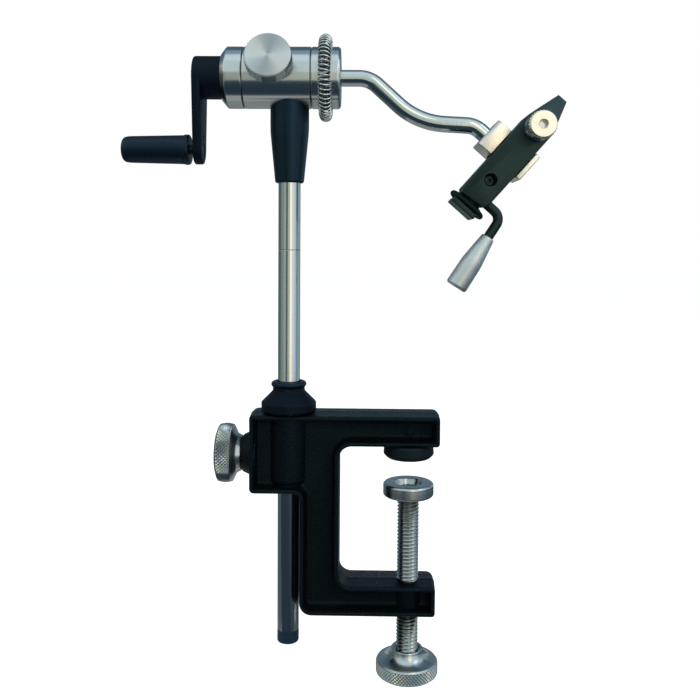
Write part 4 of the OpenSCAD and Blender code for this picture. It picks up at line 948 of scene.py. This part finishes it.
def lever_path(run):
    """The lever from the cam, down and round its bend, with a straight length of run after it."""
    return path((CAM_U, LEVER_START, -90),
                [(LEVER_START + LEVER_OUT, LEVER_BEND, LEVER_TURN), (run, 0, 0)], 6.0)


verts, faces = tube([(u, 0, w) for u, w in lever_path(LEVER_RUN + ROD_IN_KNOB)], LEVER_R, 28)
place(mesh_object("lever_rod", verts, faces, BLACK_STEEL, JAWS), "lever", "black_steel", "cam_lever")
end = lever_path(LEVER_RUN)[-1]
heading = radians(-90 + LEVER_TURN)
KNOB = frame_at(in_jaws(end[0], 0, end[1]), (0, 1, 0),
                [cos(heading) * U_AXIS[k] + sin(heading) * W_AXIS[k] for k in range(3)])
handle = eased([(2.2, 0), (2.75, 0.05, 0.1), (3.0, 0.7, 0.2), (4.6, 12.8, 2.0), (4.8, 24.6, 0.4),
                (4.3, 25.55, 0.2), (3.0, 25.6, 0.15), (2.4, 24.9, 0.1), (0, 24.8)], 5)
place(turned_piece("lever_grip", [(0, 0.4), (2.2, 0.4)] + handle, STREAKED, KNOB, 72), "lever",
      "turned_steel", "lever_knob")

# Finishes of the CAD nodes that stay
for finish, nodes in (
        (BRIGHT, ("fixed_pad_rivet", "lock_screw", "post_joint_stud", "tension_screw", "spindle",
                  "crank_grub_screw", "adjusting_screw")),
        (BLACK_STEEL, ("collar_grub_screw", "grip_screw", "block_grub_screw", "jaw_fixing_screw",
                       "fulcrum_screw")),
        (BRONZE, ("rear_bushing", "front_bushing")), (NYLON, ("lock_tip", "brake_plug"))):
    for node in nodes:
        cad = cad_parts[node]
        if not cad.material_slots:
            cad.data.materials.append(finish)
        for slot in cad.material_slots:
            slot.material = finish

# Stage, light and camera


def seen_directly(tree):
    """1 for camera, glossy and transmission rays, which are the ones that show the background."""
    rays, first, both = add_node(tree, "LightPath"), add_node(tree, "Math"), add_node(tree, "Math")
    first.operation = both.operation = "MAXIMUM"
    links(tree, (rays.outputs["Is Camera Ray"], first.inputs[0]),
          (rays.outputs["Is Glossy Ray"], first.inputs[1]), (first.outputs[0], both.inputs[0]),
          (rays.outputs["Is Transmission Ray"], both.inputs[1]))
    return both.outputs[0]


def stage_piece(name, corners, finish):
    """A flat, four-cornered piece of the set."""
    mesh = bpy.data.meshes.new(name)
    mesh.from_pydata(corners, [], [(0, 1, 2, 3)])
    mesh.materials.append(finish)
    obj = linked(name, mesh)
    return obj


# a white floor, a little brighter where it is seen than where it only lights the object
FLOOR_Z, FLOOR_REACH = -0.16, 9.0
FLOOR, shader = principled("floor", {
    "Base Color": (0.9, 0.9, 0.9, 1), "Roughness": 1.0, "Specular IOR Level": 0.0,
    "Emission Color": (1, 1, 1, 1)})
glow = add_node(FLOOR.node_tree, "Math", {1: 0.4})
glow.operation = "MULTIPLY"
links(FLOOR.node_tree, (seen_directly(FLOOR.node_tree), glow.inputs[0]),
      (glow.outputs[0], shader.inputs["Emission Strength"]))
stage_piece("floor", [(x * FLOOR_REACH, y * FLOOR_REACH, FLOOR_Z)
                      for x, y in ((-1, -1), (1, -1), (1, 1), (-1, 1))], FLOOR)


def card(name, corners, shade):
    """A card of one plain shade that only mirror-like surfaces show, as in a photographer's tent."""
    finish = principled(name, {"Base Color": (0, 0, 0, 1), "Specular IOR Level": 0.0,
                               "Emission Color": (*shade, 1), "Emission Strength": 1.0})[0]
    obj = stage_piece(name, corners, finish)
    obj.visible_camera = obj.visible_diffuse = obj.visible_shadow = obj.visible_transmission = False


def upright_card(name, start, end, shade, low=-0.155, high=0.34, reach=0.95):
    """A card that stands round the object, between two bearings in degrees: 0 is towards the camera
    and 90 is to the right."""
    foot = [(reach * sin(radians(a)), -reach * cos(radians(a))) for a in (start, end)]
    card(name, [(*foot[0], low), (*foot[1], low), (*foot[1], high), (*foot[0], high)], shade)


# cards that lie just above the floor
TABLE_Z = -0.152
for name, x0, x1, y0, y1, shade in (
        ("dark_table_front", -2.0, 0.05, -2.2, -0.07, (0.028, 0.052, 0.08)),
        ("dark_table_left", -2.0, -0.2, -0.07, 2.0, (0.1, 0.145, 0.15)),
        ("dark_table_right", 0.05, 2.0, -2.2, 2.0, (0.05, 0.08, 0.1)),
        ("table_under", -0.2, 0.05, -0.07, 0.07, (0.5, 0.55, 0.57)),
        ("table_behind", -0.2, 0.05, 0.07, 2.0, (0.32, 0.36, 0.38))):
    card(name, [(x0, y0, TABLE_Z), (x1, y0, TABLE_Z), (x1, y1, TABLE_Z), (x0, y1, TABLE_Z)], shade)
for number, (start, end, shade) in enumerate((
        (-146, -92, (0.12, 0.17, 0.21)), (-92, -55, (0.28, 0.38, 0.33)), (-55, -34, (0.48, 0.57, 0.54)),
        (-34, -14, (0.13, 0.19, 0.22)), (-14, 8, (0.62, 0.72, 0.64)), (8, 30, (1.6, 1.55, 1.25)),
        (30, 54, (1.0, 1.05, 1.05)), (54, 78, (0.66, 0.86, 1.05)), (78, 108, (0.27, 0.46, 0.58)),
        (108, 146, (0.38, 0.52, 0.56)))):
    upright_card(f"upright_card_{number}", start, end, shade)
upright_card("tall_card", 14, 30, (2.2, 2.15, 1.8), 0.34, 1.0, 0.9)
upright_card("blue_card", 54, 78, (1.9, 2.7, 3.4), 0.55, 1.1, 0.8)
# soft sheets over the object: bright in front, mid grey overhead and a dull blue behind
for name, near, far, shade in (
        ("front_sheet", (-1.0, 0.36), (-0.85, 1.35), (0.72, 0.92, 1.0)),
        ("top_sheet", (-0.85, 1.35), (-0.12, 1.45), (0.9, 1.08, 1.2)),
        ("overhead", (-0.12, 1.45), (0.4, 1.25), (0.3, 0.46, 0.6)),
        ("back_sky", (0.4, 1.25), (0.75, 0.42), (0.09, 0.16, 0.24)),
        ("back_wall", (0.75, 0.42), (0.8, -0.05), (0.16, 0.25, 0.31))):
    card(name, [(-1.4, *near), (1.4, *near), (1.4, *far), (-1.4, *far)], shade)


def area(name, at, target, size, watts, colour, size_y=None):
    """A soft light that mirror-like surfaces don't show."""
    data = bpy.data.lights.new(name, "AREA")
    data.shape = "RECTANGLE"
    data.size = size
    data.size_y = size_y or size
    data.energy = watts
    data.color = colour
    obj = linked(name, data)
    obj.location = at
    obj.rotation_euler = (Vector(target) - Vector(at)).to_track_quat("-Z", "Y").to_euler()
    obj.visible_glossy = False


MID = (-0.03, 0, 0.04)
area("top_light", (0.05, -0.35, 0.95), MID, 0.9, 3.6, (1.0, 0.99, 0.97))
area("left_light", (-0.85, -0.65, 0.55), MID, 0.3, 1.4, (0.93, 0.96, 1.0), 0.6)
area("right_light", (0.45, -0.95, 0.42), MID, 0.22, 1.6, (1.0, 0.98, 0.9), 0.7)
area("back_light", (0.1, 0.9, 0.9), MID, 0.7, 1.6, (0.95, 0.98, 1.0))

world = bpy.data.worlds.new("studio")
bpy.context.scene.world = world
world.use_nodes = True
studio = world.node_tree
studio.nodes.clear()
out, mix = add_node(studio, "OutputWorld"), add_node(studio, "MixShader")
room = add_node(studio, "Background", {"Color": (0.66, 0.68, 0.7, 1)})
white = add_node(studio, "Background", {"Color": (1, 1, 1, 1)})
links(studio, (seen_directly(studio), mix.inputs[0]), (room.outputs[0], mix.inputs[1]),
      (white.outputs[0], mix.inputs[2]), (mix.outputs[0], out.inputs["Surface"]))

scene = bpy.context.scene
scene.view_settings.view_transform = "Standard"
data = bpy.data.cameras.new("camera")
camera = linked("camera", data)
scene.camera = camera
# the photograph's angle: a camera close to the object, nearly level, with the rest of its framing as
# shift; the focal length is in pixels of a picture PICTURE wide
CAMERA_AT, FOCAL, PITCH_DOWN, YAW, ROLL = (-20.2, -356.6, 92.5), 825.4, 2.5, -0.94, 0.38
SENSOR, PICTURE = 36.0, 700.0
data.sensor_width = SENSOR
data.lens = FOCAL * SENSOR / PICTURE
data.shift_y = -0.1
p, y, r = radians(PITCH_DOWN), radians(YAW), radians(ROLL)
forward = Vector((sin(y) * cos(p), cos(y) * cos(p), -sin(p)))
right = Vector((cos(y), -sin(y), 0))
up = right.cross(forward)
right, up = right * cos(r) + up * sin(r), up * cos(r) - right * sin(r)
turn = Matrix((right, up, -forward)).transposed()
camera.matrix_world = Matrix.Translation(Vector(CAMERA_AT) * MM) @ turn.to_4x4()
data.clip_start, data.clip_end = 0.01, 50.0
